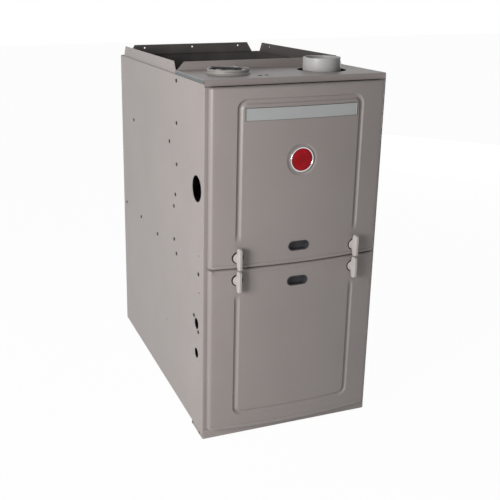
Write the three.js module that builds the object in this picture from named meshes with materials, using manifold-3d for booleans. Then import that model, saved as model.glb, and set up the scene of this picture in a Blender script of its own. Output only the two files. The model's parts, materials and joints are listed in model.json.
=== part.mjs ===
// An upflow forced air gas furnace: a sheet metal cabinet with two bowed lift-off doors, quarter-turn knobs, a
// supply duct opening in the top, and the burner, heat exchanger, inducer and blower assemblies inside.
//
// Millimetres, +Z up. The doors face -Y and +X is to the right of someone who faces them. Every sub-part is
// made with x = 0 on the cabinet's centre plane, y = 0 on the casing's front face and z = 0 on the floor. The
// last lines move the whole group so that its origin is below the middle of its bounding box.
import * as THREE from 'three';
import { mergeVertices } from 'three/addons/utils/BufferGeometryUtils.js';
import Module from 'manifold-3d';

const wasm = await Module();
wasm.setup();

// ---------------------------------------------------------------- driving dimensions
const CABINET_WIDTH = 444.5;
const CABINET_HEIGHT = 863.6;
const CABINET_DEPTH = 724;
const SHEET = 1.2;
const BEND = 2.5;
const SEAT = 0.3; // gap between pieces that seat on each other

// casing
const FRONT_RETURN = 22; // width of the side panels' front flange
const JAMB_DEPTH = 12; // its fold back into the cabinet
const REAR_RETURN = 16;
const SIDE_FOOT = 9; // height of the side panels' lower edge
const CAP_REVEAL = 9; // how far the top cap stands above the side panels
const CAP_BAND = 15; // height of the cap's front band
const CAP_DEPTH = 200;
const CAP_SKIRT = 26;
const DUCT_FLANGE_RISE = 19.4; // above the top cap
const DUCT_FLANGE_INSET = 5;
const DUCT_FLANGE_SLANT = 18; // slope of the flanges' notched ends
const DUCT_FLANGE_END = 24; // from the cabinet's corners to the flanges' ends
const SCREW_HOLE_RADIUS = 3;
// the top cap's small holes as [x, y, radius]
const CAP_HOLES = [[-75, 42, 3.6], [-59, 42, 3.6], [-176, 150, 3]];

// base
const BASE_RAIL_HEIGHT = 24;
const BASE_WING_LENGTH = 76;
const RUNNER_INSET = 16;
const RUNNER_WIDTH = 18;
const PAN_HEIGHT = 10.6;
const RETURN_OPENING_WIDTH = 340;
const RETURN_OPENING_MARGIN = 80;
const RIVET_RADIUS = 2.8;
const RIVET_HEAD = 2.4;

// dividers
const SEAM_HEIGHT = 438; // middle of the gap between the doors
const RAIL_HALF_HEIGHT = 18;
const DECK_FLANGE = 34;
const VESTIBULE_FLANGE = 14;

// doors
const DOOR_SIDE_MARGIN = 10;
const DOOR_SEAM_GAP = 3;
const DOOR_FOOT = 27;
const DOOR_EDGE_DEPTH = 14; // how far the bow starts in front of the casing
const DOOR_BOW = 16; // how much further its middle stands
const DOOR_CORNER_RADIUS = 9;
const DOOR_RIM_RADIUS = 5;
const GROOVE_HALF_WIDTH = 147.5;
const GROOVE_RADIUS = 5.5;
const GROOVE_DEPTH = 2.6;
const GROOVE_CORNER = 17;
const GROOVE_END_GAP = 58; // from the seam to the groove's run-out
const GROOVE_TOP_MARGIN = 31;
const GROOVE_FOOT_MARGIN = 42;

// door furniture
const STRIP_WIDTH = 272;
const STRIP_HEIGHT = 28.5;
const STRIP_THICKNESS = 1.6;
const STRIP_DROP = 58.5; // from the door's top edge to the strip's middle
const BADGE_RADIUS = 28.5;
const BADGE_DISC_RADIUS = 25;
const BADGE_DROP = 165;
const BADGE_DISH_DEPTH = 2.2;
const CUP_WIDTH = 51;
const CUP_HEIGHT = 22;
const CUP_DEPTH = 13;
const CUP_LIP = 2.4;
const CUP_WALL = 1.6;
const CUP_OFFSET = 43; // from the seam

// knobs
const KNOB_OFFSET = 27; // from the seam
const KNOB_HOLE_RADIUS = 14;
const KNOB_HUB_RADIUS = 12;
const KNOB_FLANGE_RADIUS = 17;
const KNOB_STEM_RADIUS = 5;
const KNOB_FLANGE_THICKNESS = 2;
const KNOB_HUB_RISE = 3; // in front of the door
const TONGUE_REACH = 7; // behind the casing's front face
const KNOB_WING_LENGTH = 52;
const KNOB_WING_WIDTH = 7;
const KNOB_WING_REACH = 21;
const TONGUE_LENGTH = 22;
const TONGUE_WIDTH = 9;
const TONGUE_THICKNESS = 3;
const TONGUE_CLEARANCE = 3;

// top fittings
const VENT_X = 112;
const VENT_Y = 106;
const VENT_HOLE_RADIUS = 57;
const VENT_STUB_RADIUS = 44.45;
const VENT_STUB_RISE = 29.4; // above the top cap
const VENT_STUB_WALL = 5.5;
const VENT_STUB_LENGTH = 62;
const VENT_PIPE_RADIUS = 30.15;
const VENT_PIPE_WALL = 4;
const INTAKE_X = -128;
const INTAKE_Y = 100;
const INTAKE_PIPE_RADIUS = 38;
const INTAKE_PIPE_WALL = 3;
const INTAKE_CLEARANCE = 5; // round the pipe in the top cap and the burner box
const COLLAR_MARGIN = 12; // how far the collar reaches past the pipe
const COLLAR_HEIGHT = 12;
const CLIP_WIDTH = 15;
const CLIP_DEPTH = 9;
const CLIP_THICKNESS = 3.2;

// side openings
const PIPE_HOLE = { y: 45, z: 616, radius: 30.5 };
const GAS_KNOCKOUT = { y: 44, z: 286, radius: 11.2 };
const WIRE_KNOCKOUT = { y: 44, z: 209, radius: 10 };

// blower
const WHEEL_RADIUS = 127;
const WHEEL_WIDTH = 200;
const WHEEL_BLADES = 20;
const BLADE_DEPTH = 21;
const BLADE_THICKNESS = 1.1;
const BLADE_SWEEP = 9; // degrees that a blade leans forward from its root to its tip
const BLOWER_Y = 400;
const BLOWER_Z = 215;
const SCROLL_START_GAP = 9;
const SCROLL_END_GAP = 85;
const SCROLL_START_ANGLE = 80;
const SCROLL_WIDTH = 232;
const SCROLL_SHEET = 1.5;
const INLET_RADIUS = 112;
const MOTOR_RADIUS = 68;
const MOTOR_LENGTH = 120;
const SHAFT_RADIUS = 6.35;
const HUB_RADIUS = 18;
const END_RING_WIDTH = 4;
const MOUNT_ARMS = 3;
const MOUNT_ARM_THICKNESS = 2.4;
const MOUNT_ARM_WIDTH = 14;

// burners and heat exchanger
const BURNER_COUNT = 3;
const BURNER_PITCH = 79;
const BURNER_FIRST_X = -108;
const BURNER_Z = 745;
const BURNER_FRONT = 95;
const BURNER_LENGTH = 95;
const BOX_SIDE_MARGIN = 28;
const BOX_FRONT = 58;
const BOX_HALF_HEIGHT = 53;
const MANIFOLD_Y = 42;
const MANIFOLD_RADIUS = 9;
const TUBE_RADIUS = 24;
const TUBE_PASS_DROP = 80;
const TUBE_REAR_Y = 640;
const TUBE_FRONT_Y = 290;
const COIL_TOP = 540;
const COIL_HEIGHT = 82;
const COIL_FINS = 14;
const COIL_HEADER_RISE = 8;

// inducer
const INDUCER_X = 62;
const INDUCER_Z = 540;
const INDUCER_WIDTH = 56;
const INDUCER_WHEEL_RADIUS = 52;
const INDUCER_WHEEL_SETBACK = 21; // from the housing's back to the middle of the blades
const INDUCER_OUTLET_TOP = 640;
const INDUCER_SPOUT_RADIUS = 26;
const INDUCER_SHOULDER = 600;
const INDUCER_WALL = 2.5;
const INDUCER_SPOUT_WALL = 4;
const INDUCER_INLET_RADIUS = 24;
const INDUCER_BLADES = 8;
const BOOT_WALL = 6;

// ---------------------------------------------------------------- values worked out from them
const HALF_WIDTH = CABINET_WIDTH / 2;
const SIDE_TOP = CABINET_HEIGHT - CAP_REVEAL;
const INNER_HALF = HALF_WIDTH - SHEET - SEAT; // half the room between the side panels
const CAP_BOTTOM = CABINET_HEIGHT - CAP_BAND;
const DUCT_FLANGE_TOP = CABINET_HEIGHT + DUCT_FLANGE_RISE;
const VENT_STUB_TOP = CABINET_HEIGHT + VENT_STUB_RISE;
const COLLAR_RADIUS = INTAKE_PIPE_RADIUS + COLLAR_MARGIN;
const DECK_Z = SEAM_HEIGHT;
const VESTIBULE_Y = CAP_DEPTH + SEAT + SHEET / 2;
const DOOR_HALF = HALF_WIDTH - DOOR_SIDE_MARGIN;
const DOOR_BACK = -0.5;
const UPPER_DOOR = { bottom: SEAM_HEIGHT + DOOR_SEAM_GAP / 2, top: CAP_BOTTOM - 0.6 };
const LOWER_DOOR = { bottom: DOOR_FOOT, top: SEAM_HEIGHT - DOOR_SEAM_GAP / 2 };
const BOW_RADIUS = (DOOR_HALF ** 2 + DOOR_BOW ** 2) / (2 * DOOR_BOW);
const BOW_CENTRE_Y = BOW_RADIUS - DOOR_EDGE_DEPTH - DOOR_BOW;
const BURNER_XS = Array.from({ length: BURNER_COUNT }, (_, i) => BURNER_FIRST_X + i * BURNER_PITCH);
const BOX_LEFT = Math.min(BURNER_XS[0] - BOX_SIDE_MARGIN, INTAKE_X - INTAKE_PIPE_RADIUS - INTAKE_CLEARANCE);
const BOX_RIGHT = BURNER_XS[BURNER_COUNT - 1] + BOX_SIDE_MARGIN;
const BOX_TOP = BURNER_Z + BOX_HALF_HEIGHT;
const BOX_BOTTOM = BURNER_Z - BOX_HALF_HEIGHT;
const BOX_BACK = VESTIBULE_Y - SHEET / 2 - SEAT;
const PIPE_TOP = CABINET_HEIGHT + 4.2; // the intake pipe's upper end, inside the collar

// ---------------------------------------------------------------- solids
const radians = THREE.MathUtils.degToRad;
const point = (x, y) => new THREE.Vector2(x, y);

function solidOf(geometry) {
  const bare = new THREE.BufferGeometry();
  bare.setAttribute('position', geometry.getAttribute('position').clone());
  if (geometry.index) bare.setIndex(geometry.index.clone());
  const welded = mergeVertices(bare, 1e-4);
  return new wasm.Manifold(new wasm.Mesh({
    numProp: 3,
    vertProperties: new Float32Array(welded.getAttribute('position').array),
    triVerts: new Uint32Array(welded.index.array),
  }));
}

function geometryOf(solid) {
  const { vertProperties, triVerts } = solid.getMesh();
  const geometry = new THREE.BufferGeometry();
  geometry.setAttribute('position', new THREE.BufferAttribute(vertProperties, 3));
  geometry.setIndex(new THREE.BufferAttribute(triVerts, 1));
  geometry.computeVertexNormals();
  return geometry;
}

const join = (...solids) => solids.flat().reduce((whole, each) => whole.add(each));
const cut = (solid, ...tools) => tools.flat().reduce((rest, tool) => rest.subtract(tool), solid);

function block(x0, x1, y0, y1, z0, z1) {
  const geometry = new THREE.BoxGeometry(x1 - x0, y1 - y0, z1 - z0);
  geometry.translate((x0 + x1) / 2, (y0 + y1) / 2, (z0 + z1) / 2);
  return solidOf(geometry);
}

// Turns a geometry made along +Z so that it runs along the named axis. The plane it was drawn in becomes
// (y, z) for x, (x, z) for y and stays (x, y) for z.
function alongAxis(geometry, axis, start, length) {
  if (axis === 'x') {
    geometry.applyMatrix4(new THREE.Matrix4().makeBasis(
      new THREE.Vector3(0, 1, 0), new THREE.Vector3(0, 0, 1), new THREE.Vector3(1, 0, 0)));
    geometry.translate(start, 0, 0);
  } else if (axis === 'y') {
    geometry.rotateX(Math.PI / 2);
    geometry.translate(0, start + length, 0);
  } else {
    geometry.translate(0, 0, start);
  }
  return geometry;
}

// An outline drawn in the plane across the axis, drawn out from start to end.
function prism(outline, axis, start, end) {
  const shape = outline instanceof THREE.Shape ? outline : new THREE.Shape(outline);
  const geometry = new THREE.ExtrudeGeometry(shape, { depth: end - start, bevelEnabled: false, curveSegments: 4 });
  return solidOf(alongAxis(geometry, axis, start, end - start));
}

// A round bar along the axis; centre gives its two other coordinates in x, y, z order.
function rod(axis, radius, start, end, centre, sides = 20) {
  const ring = Array.from({ length: sides }, (_, i) => {
    const angle = (2 * Math.PI * (i + 0.5)) / sides;
    return point(centre[0] + radius * Math.cos(angle), centre[1] + radius * Math.sin(angle));
  });
  return prism(ring, axis, start, end);
}

// A profile of [radius, distance along the axis] pairs, turned about the axis. A profile that doesn't start and
// end on the axis closes on itself.
function turned(profile, axis, centre, sides = 24) {
  const points = profile.map(([radius, along]) => point(radius, along));
  if (profile[0][0] > 0) points.push(points[0].clone());
  const area = THREE.ShapeUtils.area(points);
  const geometry = new THREE.LatheGeometry(area > 0 ? points : points.reverse(), sides);
  geometry.rotateX(Math.PI / 2); // the turning axis, +Y, becomes +Z
  const solid = alongAxis(geometry, axis === 'y' ? 'z' : axis, 0, 0);
  if (axis === 'y') solid.rotateX(-Math.PI / 2);
  if (axis === 'x') solid.translate(0, centre[0], centre[1]);
  if (axis === 'y') solid.translate(centre[0], 0, centre[1]);
  if (axis === 'z') solid.translate(centre[0], centre[1], 0);
  return solidOf(solid);
}

// The outline of a folded sheet: a path of corners down the middle of the metal, each corner bent to a radius,
// given the sheet's thickness.
function foldedSheet(corners, thickness = SHEET, radius = BEND, steps = 1) {
  const path = corners.flatMap(([a, b], i) => {
    const here = point(a, b);
    if (i === 0 || i === corners.length - 1) return [here];
    const before = point(...corners[i - 1]).sub(here).normalize();
    const after = point(...corners[i + 1]).sub(here).normalize();
    const turn = Math.PI - before.angleTo(after);
    const reach = radius * Math.tan(turn / 2);
    const bend = new THREE.QuadraticBezierCurve(
      here.clone().addScaledVector(before, reach), here, here.clone().addScaledVector(after, reach));
    return bend.getPoints(steps);
  });
  const side = (sign) => path.map((here, i) => {
    const into = here.clone().sub(path[Math.max(i - 1, 0)]).normalize();
    const out = path[Math.min(i + 1, path.length - 1)].clone().sub(here).normalize();
    const along = into.clone().add(out).normalize();
    const mitre = i === 0 || i === path.length - 1 ? 1 : Math.max(along.dot(out), 0.3);
    return point(here.x - (along.y * sign * thickness) / 2 / mitre, here.y + (along.x * sign * thickness) / 2 / mitre);
  });
  return [...side(1), ...side(-1).reverse()];
}

// A closed skin over rings of points, each ring with as many points as the last. Each point also holds u and v,
// its place in the ring's own plane, seen against the direction that the rings follow each other in.
function loft(rings) {
  const count = rings[0].length;
  const positions = rings.flat().flatMap((p) => [p.x, p.y, p.z]);
  const flat = rings[0].map((p) => point(p.u, p.v));
  const turn = Math.sign(THREE.ShapeUtils.area(flat));
  const faces = [];
  for (let r = 0; r + 1 < rings.length; r += 1) {
    for (let i = 0; i < count; i += 1) {
      const a = r * count + i;
      const b = r * count + ((i + 1) % count);
      faces.push([a, b, b + count], [a, b + count, a + count]);
    }
  }
  const last = (rings.length - 1) * count;
  THREE.ShapeUtils.triangulateShape(flat, []).forEach((corners) => {
    const sameTurn = Math.sign(THREE.ShapeUtils.area(corners.map((i) => flat[i]))) === turn;
    const [a, b, c] = sameTurn ? corners : corners.toReversed();
    faces.push([c, b, a], [last + a, last + b, last + c]);
  });
  const geometry = new THREE.BufferGeometry();
  geometry.setAttribute('position', new THREE.Float32BufferAttribute(positions, 3));
  geometry.setIndex(faces.flatMap((face) => (turn > 0 ? face : face.toReversed())));
  return solidOf(geometry);
}

// A round tube or bar along a list of points, with a ring at each; across is a direction that the path never
// runs in, which steadies the rings.
function sweep(points, radius, across, sides = 10) {
  const rings = points.map((here, i) => {
    const along = points[Math.min(i + 1, points.length - 1)].clone().sub(points[Math.max(i - 1, 0)]).normalize();
    const u = across.clone().addScaledVector(along, -across.dot(along)).normalize();
    const v = along.clone().cross(u);
    const size = Array.isArray(radius) ? radius[i] : radius;
    return Array.from({ length: sides }, (_, k) => {
      const angle = (2 * Math.PI * k) / sides;
      const offset = u.clone().multiplyScalar(size * Math.cos(angle)).addScaledVector(v, size * Math.sin(angle));
      const p = here.clone().add(offset);
      return Object.assign(p, { u: Math.cos(angle), v: Math.sin(angle) });
    });
  });
  return loft(rings);
}

// Points round a bend in a plane, from one angle to another, in degrees.
const arc = (centre, a, b, radius, from, to, steps) => Array.from({ length: steps + 1 }, (_, i) => {
  const angle = radians(from + ((to - from) * i) / steps);
  return centre.clone().addScaledVector(a, radius * Math.cos(angle)).addScaledVector(b, radius * Math.sin(angle));
});

const X = new THREE.Vector3(1, 0, 0);
const Y = new THREE.Vector3(0, 1, 0);
const Z = new THREE.Vector3(0, 0, 1);
const at = (x, y, z) => new THREE.Vector3(x, y, z);

// The radius of a many-sided bore that clears a round of the given radius all the way round.
const boreFor = (radius, sides) => (radius + SEAT) / Math.cos(Math.PI / sides);

// ---------------------------------------------------------------- finishes and the group
const FINISHES = {
  paint: { color: 0x8d8783, roughness: 0.42, metalness: 0.25 },
  galvanised: { color: 0x9ba3a6, roughness: 0.4, metalness: 0.8 },
  aluminised: { color: 0xa9aaa8, roughness: 0.45, metalness: 0.8 },
  darkSteel: { color: 0x4a4846, roughness: 0.55, metalness: 0.7 },
  knobPlastic: { color: 0xa8a5a1, roughness: 0.5, metalness: 0 },
  blackPlastic: { color: 0x232427, roughness: 0.5, metalness: 0 },
  whitePlastic: { color: 0xe6e5e1, roughness: 0.35, metalness: 0 },
  rubber: { color: 0x1c1c1d, roughness: 0.8, metalness: 0 },
  silverStrip: { color: 0xa9b0b3, roughness: 0.35, metalness: 0.6 },
  chrome: { color: 0xc9cbcc, roughness: 0.15, metalness: 1 },
  redEnamel: { color: 0xa32127, roughness: 0.3, metalness: 0.1 },
  castAlloy: { color: 0x8e9092, roughness: 0.5, metalness: 0.8 },
  circuitBoard: { color: 0x2d5a3c, roughness: 0.6, metalness: 0 },
  ceramic: { color: 0xd8d2c4, roughness: 0.8, metalness: 0 },
  redPlastic: { color: 0xb02a24, roughness: 0.4, metalness: 0 },
};

const furnace = new THREE.Group();

function piece(name, solid, finish, place = [0, 0, 0]) {
  const mesh = new THREE.Mesh(geometryOf(solid), new THREE.MeshStandardMaterial(FINISHES[finish]));
  mesh.name = name;
  mesh.position.set(...place);
  furnace.add(mesh);
}

// ---------------------------------------------------------------- casing
// The vestibule panel's screws run up the sides just behind the panel's flange, the blower deck's run in a row
// below the deck, and the rest hold the heat exchanger, the door rails and the lower brackets.
const VESTIBULE_SCREWS = [22.6, 122.6, 223.6].map((drop) => [VESTIBULE_Y - 11, CABINET_HEIGHT - drop]);
const DECK_SCREWS = [0, 1, 2, 3].map((i) => [194 + i * 165, DECK_Z - DECK_FLANGE + 6]);
const BRACKET_SCREWS = [[585, 683], [246, 686], [201, 562], [213, 529], [212, 443], [31, 415], [62, 300], [31, 269]];

function sidePanel(side) {
  const middle = side * (HALF_WIDTH - SHEET / 2);
  const wall = prism(foldedSheet([
    [side * (HALF_WIDTH - REAR_RETURN), CABINET_DEPTH - SHEET / 2],
    [middle, CABINET_DEPTH - SHEET / 2],
    [middle, SHEET / 2],
    [side * (HALF_WIDTH - FRONT_RETURN), SHEET / 2],
    [side * (HALF_WIDTH - FRONT_RETURN), JAMB_DEPTH],
  ]), 'z', SIDE_FOOT, SIDE_TOP);
  const upstand = side * (HALF_WIDTH - SHEET / 2 - DUCT_FLANGE_INSET);
  const flangeFront = CAP_DEPTH + 6;
  const flangeBack = CABINET_DEPTH - DUCT_FLANGE_END;
  const flange = prism(foldedSheet([
    [middle, SIDE_TOP - 14],
    [middle, SIDE_TOP - SHEET / 2],
    [upstand, SIDE_TOP - SHEET / 2],
    [upstand, DUCT_FLANGE_TOP],
  ]), 'y', flangeFront, flangeBack);
  const throughSide = [side * HALF_WIDTH - 12, side * HALF_WIDTH + 12];
  const hole = ({ y, z, radius }, sides) => rod('x', radius, ...throughSide, [y, z], sides);
  const tops = SIDE_TOP;
  const slant = (foot, top) => prism([
    point(foot, tops), point(top, DUCT_FLANGE_TOP + 1), point(foot + (foot - top), DUCT_FLANGE_TOP + 1),
  ], 'x', ...throughSide);
  const capNotch = side < 0
    ? block(-HALF_WIDTH + SHEET + 0.1, 0, -5, JAMB_DEPTH + 5, CAP_BOTTOM - SEAT, SIDE_TOP + 5)
    : block(0, HALF_WIDTH - SHEET - 0.1, -5, JAMB_DEPTH + 5, CAP_BOTTOM - SEAT, SIDE_TOP + 5);
  return cut(
    join(wall, flange),
    capNotch,
    slant(flangeFront, flangeFront + DUCT_FLANGE_SLANT),
    slant(flangeBack, flangeBack - DUCT_FLANGE_SLANT),
    hole(PIPE_HOLE, 18),
    hole(GAS_KNOCKOUT, 10),
    hole(WIRE_KNOCKOUT, 10),
    [...VESTIBULE_SCREWS, ...DECK_SCREWS, ...BRACKET_SCREWS].map(
      ([y, z]) => hole({ y, z, radius: SCREW_HOLE_RADIUS }, 6)),
  );
}

function backPanel() {
  const face = CABINET_DEPTH - SHEET - SEAT - SHEET / 2;
  const half = INNER_HALF - BEND + SHEET / 2;
  const sheet = block(-half, half, face - SHEET / 2, face + SHEET / 2, SIDE_FOOT, SIDE_TOP);
  const upstand = face - DUCT_FLANGE_INSET;
  const flangeHalf = HALF_WIDTH - DUCT_FLANGE_END;
  const flange = prism(foldedSheet([
    [face, SIDE_TOP - 14], [face, SIDE_TOP - SHEET / 2], [upstand, SIDE_TOP - SHEET / 2], [upstand, DUCT_FLANGE_TOP],
  ]), 'x', -flangeHalf, flangeHalf);
  const slant = (side) => prism([
    point(side * flangeHalf, SIDE_TOP),
    point(side * (flangeHalf - DUCT_FLANGE_SLANT), DUCT_FLANGE_TOP + 1),
    point(side * (flangeHalf + DUCT_FLANGE_SLANT), DUCT_FLANGE_TOP + 1),
  ], 'y', upstand - 5, upstand + 5);
  return cut(join(sheet, flange), slant(-1), slant(1));
}

function topCap() {
  const half = INNER_HALF;
  const plate = prism(foldedSheet([
    [14, CAP_BOTTOM + SHEET / 2],
    [SHEET / 2, CAP_BOTTOM + SHEET / 2],
    [SHEET / 2, CABINET_HEIGHT - SHEET / 2],
    [CAP_DEPTH - SHEET / 2, CABINET_HEIGHT - SHEET / 2],
    [CAP_DEPTH - SHEET / 2, DUCT_FLANGE_TOP],
  ], SHEET, 2), 'x', -half, half);
  const skirt = (x) => block(x, x + SHEET, 5, CAP_DEPTH - 4, CABINET_HEIGHT - CAP_SKIRT, CABINET_HEIGHT - SHEET / 2);
  const slant = (side) => prism([
    point(side * (half + 1), CABINET_HEIGHT + 1),
    point(side * (half - 4), CABINET_HEIGHT + 1),
    point(side * (half - 4 - DUCT_FLANGE_SLANT), DUCT_FLANGE_TOP + 1),
    point(side * (half + 1), DUCT_FLANGE_TOP + 1),
  ], 'y', CAP_DEPTH - 5, CAP_DEPTH + 5);
  const through = [CABINET_HEIGHT - 5, CABINET_HEIGHT + 5];
  return cut(
    join(plate, skirt(-half), skirt(half - SHEET)),
    slant(-1),
    slant(1),
    rod('z', VENT_HOLE_RADIUS, ...through, [VENT_X, VENT_Y], 24),
    rod('z', INTAKE_PIPE_RADIUS + INTAKE_CLEARANCE, ...through, [INTAKE_X, INTAKE_Y], 20),
    CAP_HOLES.map(([x, y, radius]) => rod('z', radius, ...through, [x, y], 8)),
  );
}

function basePan() {
  const half = INNER_HALF - 0.1;
  const front = 16;
  const back = CABINET_DEPTH - 2 * SHEET - 2 * SEAT;
  const plate = prism(foldedSheet([
    [-half + SHEET / 2, PAN_HEIGHT + 22],
    [-half + SHEET / 2, PAN_HEIGHT - SHEET / 2],
    [half - SHEET / 2, PAN_HEIGHT - SHEET / 2],
    [half - SHEET / 2, PAN_HEIGHT + 22],
  ]), 'y', front, back);
  const runnerOut = HALF_WIDTH - RUNNER_INSET;
  const runner = (side) => prism(foldedSheet([
    [side * (runnerOut - RUNNER_WIDTH), SHEET / 2],
    [side * runnerOut, SHEET / 2],
    [side * runnerOut, PAN_HEIGHT - SHEET / 2],
  ]), 'y', BASE_WING_LENGTH + 6, back);
  const rear = prism(foldedSheet([
    [back - 8 - RUNNER_WIDTH, SHEET / 2], [back - 8, SHEET / 2], [back - 8, PAN_HEIGHT - SHEET / 2],
  ]), 'x', -runnerOut, runnerOut);
  const opening = block(
    -RETURN_OPENING_WIDTH / 2, RETURN_OPENING_WIDTH / 2,
    front + RETURN_OPENING_MARGIN, back - RETURN_OPENING_MARGIN, PAN_HEIGHT - 6, PAN_HEIGHT + 6);
  return cut(join(plate, runner(-1), runner(1), rear), opening);
}

function frontBaseRail() {
  const half = HALF_WIDTH - SHEET / 2;
  const face = -SEAT - SHEET / 2;
  const band = prism(foldedSheet([
    [-half, BASE_WING_LENGTH], [-half, face], [half, face], [half, BASE_WING_LENGTH],
  ]), 'z', 0, SIDE_FOOT - SEAT);
  const front = block(-half + 2, half - 2, face - SHEET / 2, face + SHEET / 2, 0, BASE_RAIL_HEIGHT);
  const sole = block(-half + 2, half - 2, face, 26, 0, SHEET);
  const rivets = [-1, 1].flatMap((side) => [22, BASE_WING_LENGTH - 6].map((y) => {
    const start = side < 0 ? -half - RIVET_HEAD : half;
    return rod('x', RIVET_RADIUS, start, start + RIVET_HEAD, [y, SIDE_FOOT / 2], 8);
  }));
  return join(band, front, sole, rivets);
}

// ---------------------------------------------------------------- dividers
const scrollBack = BLOWER_Y + WHEEL_RADIUS + SCROLL_END_GAP;
const scrollThroat = BLOWER_Y + (WHEEL_RADIUS + SCROLL_START_GAP) * Math.cos(radians(SCROLL_START_ANGLE));

// The rail between the two door openings, with slots in its lips for the knobs' tongues to swing through.
function centreRail() {
  const half = HALF_WIDTH - FRONT_RETURN - SHEET / 2 - SEAT;
  const top = DECK_Z + RAIL_HALF_HEIGHT;
  const bottom = DECK_Z - RAIL_HALF_HEIGHT;
  const rail = prism(foldedSheet([
    [JAMB_DEPTH, top], [SHEET / 2, top], [SHEET / 2, bottom], [JAMB_DEPTH, bottom],
  ], SHEET, 2), 'x', -half, half);
  const inward = TONGUE_WIDTH / 2 + TONGUE_CLEARANCE;
  const outward = TONGUE_LENGTH + TONGUE_CLEARANCE;
  const slots = [-1, 1].flatMap((side) => [bottom, top].map((lip) => block(
    side * GROOVE_HALF_WIDTH - (side < 0 ? outward : inward), side * GROOVE_HALF_WIDTH + (side < 0 ? inward : outward),
    SHEET + 1, JAMB_DEPTH + 2, lip - 3, lip + 3)));
  return cut(rail, slots);
}

function blowerDeck() {
  const half = INNER_HALF - 0.1;
  const back = CABINET_DEPTH - 2 * SHEET - 2 * SEAT;
  const deck = prism(foldedSheet([
    [-half + SHEET / 2, DECK_Z - DECK_FLANGE], [-half + SHEET / 2, DECK_Z],
    [half - SHEET / 2, DECK_Z], [half - SHEET / 2, DECK_Z - DECK_FLANGE],
  ]), 'y', JAMB_DEPTH + 2, back);
  const railHalf = HALF_WIDTH - FRONT_RETURN - SHEET / 2 - SEAT;
  const tread = block(-railHalf, railHalf, SHEET + SEAT, JAMB_DEPTH + 4, DECK_Z - SHEET / 2, DECK_Z + SHEET / 2);
  const outlet = block(
    -SCROLL_WIDTH / 2 + 4, SCROLL_WIDTH / 2 - 4, scrollThroat + 4, scrollBack - 4, DECK_Z - 5, DECK_Z + 5);
  return cut(join(deck, tread), outlet);
}

function vestibulePanel() {
  const half = INNER_HALF - 0.1;
  const foot = DECK_Z + SHEET / 2 + SEAT;
  const top = CABINET_HEIGHT - SHEET - SEAT;
  const front = VESTIBULE_Y - VESTIBULE_FLANGE;
  const wall = prism(foldedSheet([
    [-half + SHEET / 2, front], [-half + SHEET / 2, VESTIBULE_Y],
    [half - SHEET / 2, VESTIBULE_Y], [half - SHEET / 2, front],
  ]), 'z', foot, CABINET_HEIGHT - CAP_SKIRT - SEAT);
  const upper = block(-half, half, VESTIBULE_Y - SHEET / 2, VESTIBULE_Y + SHEET / 2, CABINET_HEIGHT - CAP_SKIRT - 2, top);
  const ports = BURNER_XS.map((x) => rod('y', TUBE_RADIUS - 3, VESTIBULE_Y - 3, VESTIBULE_Y + 3, [x, BURNER_Z], 16));
  const coilPort = block(-120, 120, VESTIBULE_Y - 3, VESTIBULE_Y + 3, COIL_TOP - COIL_HEIGHT + 14, COIL_TOP - 14);
  return cut(join(wall, upper), ports, coilPort);
}

// ---------------------------------------------------------------- doors
// The door's plan outline, made smaller by inset: side walls, rounded corners and the bowed front.
function bowOutline(inset, back, bowSteps = 10, cornerSteps = 3) {
  const half = DOOR_HALF - inset;
  const bow = BOW_RADIUS - inset;
  const corner = Math.max(DOOR_CORNER_RADIUS - inset, 1);
  const cornerY = BOW_CENTRE_Y - Math.sqrt((bow - corner) ** 2 - (half - corner) ** 2);
  const tangent = Math.atan2(cornerY - BOW_CENTRE_Y, half - corner);
  const right = Array.from({ length: cornerSteps + 1 }, (_, i) => {
    const angle = (tangent * i) / cornerSteps;
    return point(half - corner + corner * Math.cos(angle), cornerY + corner * Math.sin(angle));
  });
  const sweepAngle = tangent - (-Math.PI - tangent);
  const front = Array.from({ length: bowSteps - 1 }, (_, i) => {
    const angle = tangent - (sweepAngle * (i + 1)) / bowSteps;
    return point(bow * Math.cos(angle), BOW_CENTRE_Y + bow * Math.sin(angle));
  });
  const left = right.map((p) => point(-p.x, p.y)).reverse();
  return [point(half, back), ...right, ...front, ...left, point(-half, back)];
}

// A block with the door's plan and rounded top and bottom rims.
function bowBlock(bottom, top, inset, back, cornerSteps = 3) {
  const rim = Math.max(DOOR_RIM_RADIUS - inset, 0.5);
  const turns = (inset > 0 ? [0, 90] : [0, 45, 90]).map(radians);
  const ring = (z, shrink) => bowOutline(inset + shrink, back, 10, cornerSteps).map(
    (p) => Object.assign(at(p.x, p.y, z), { u: p.x, v: p.y }));
  const rings = [
    ...turns.map((angle) => ring(bottom + inset + rim * (1 - Math.cos(angle)), rim * (1 - Math.sin(angle)))),
    ...turns.map((angle) => ring(top - inset - rim * (1 - Math.sin(angle)), rim * (1 - Math.cos(angle)))),
  ];
  return loft(rings);
}

const bowY = (x) => BOW_CENTRE_Y - Math.sqrt(BOW_RADIUS ** 2 - x ** 2);

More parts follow.
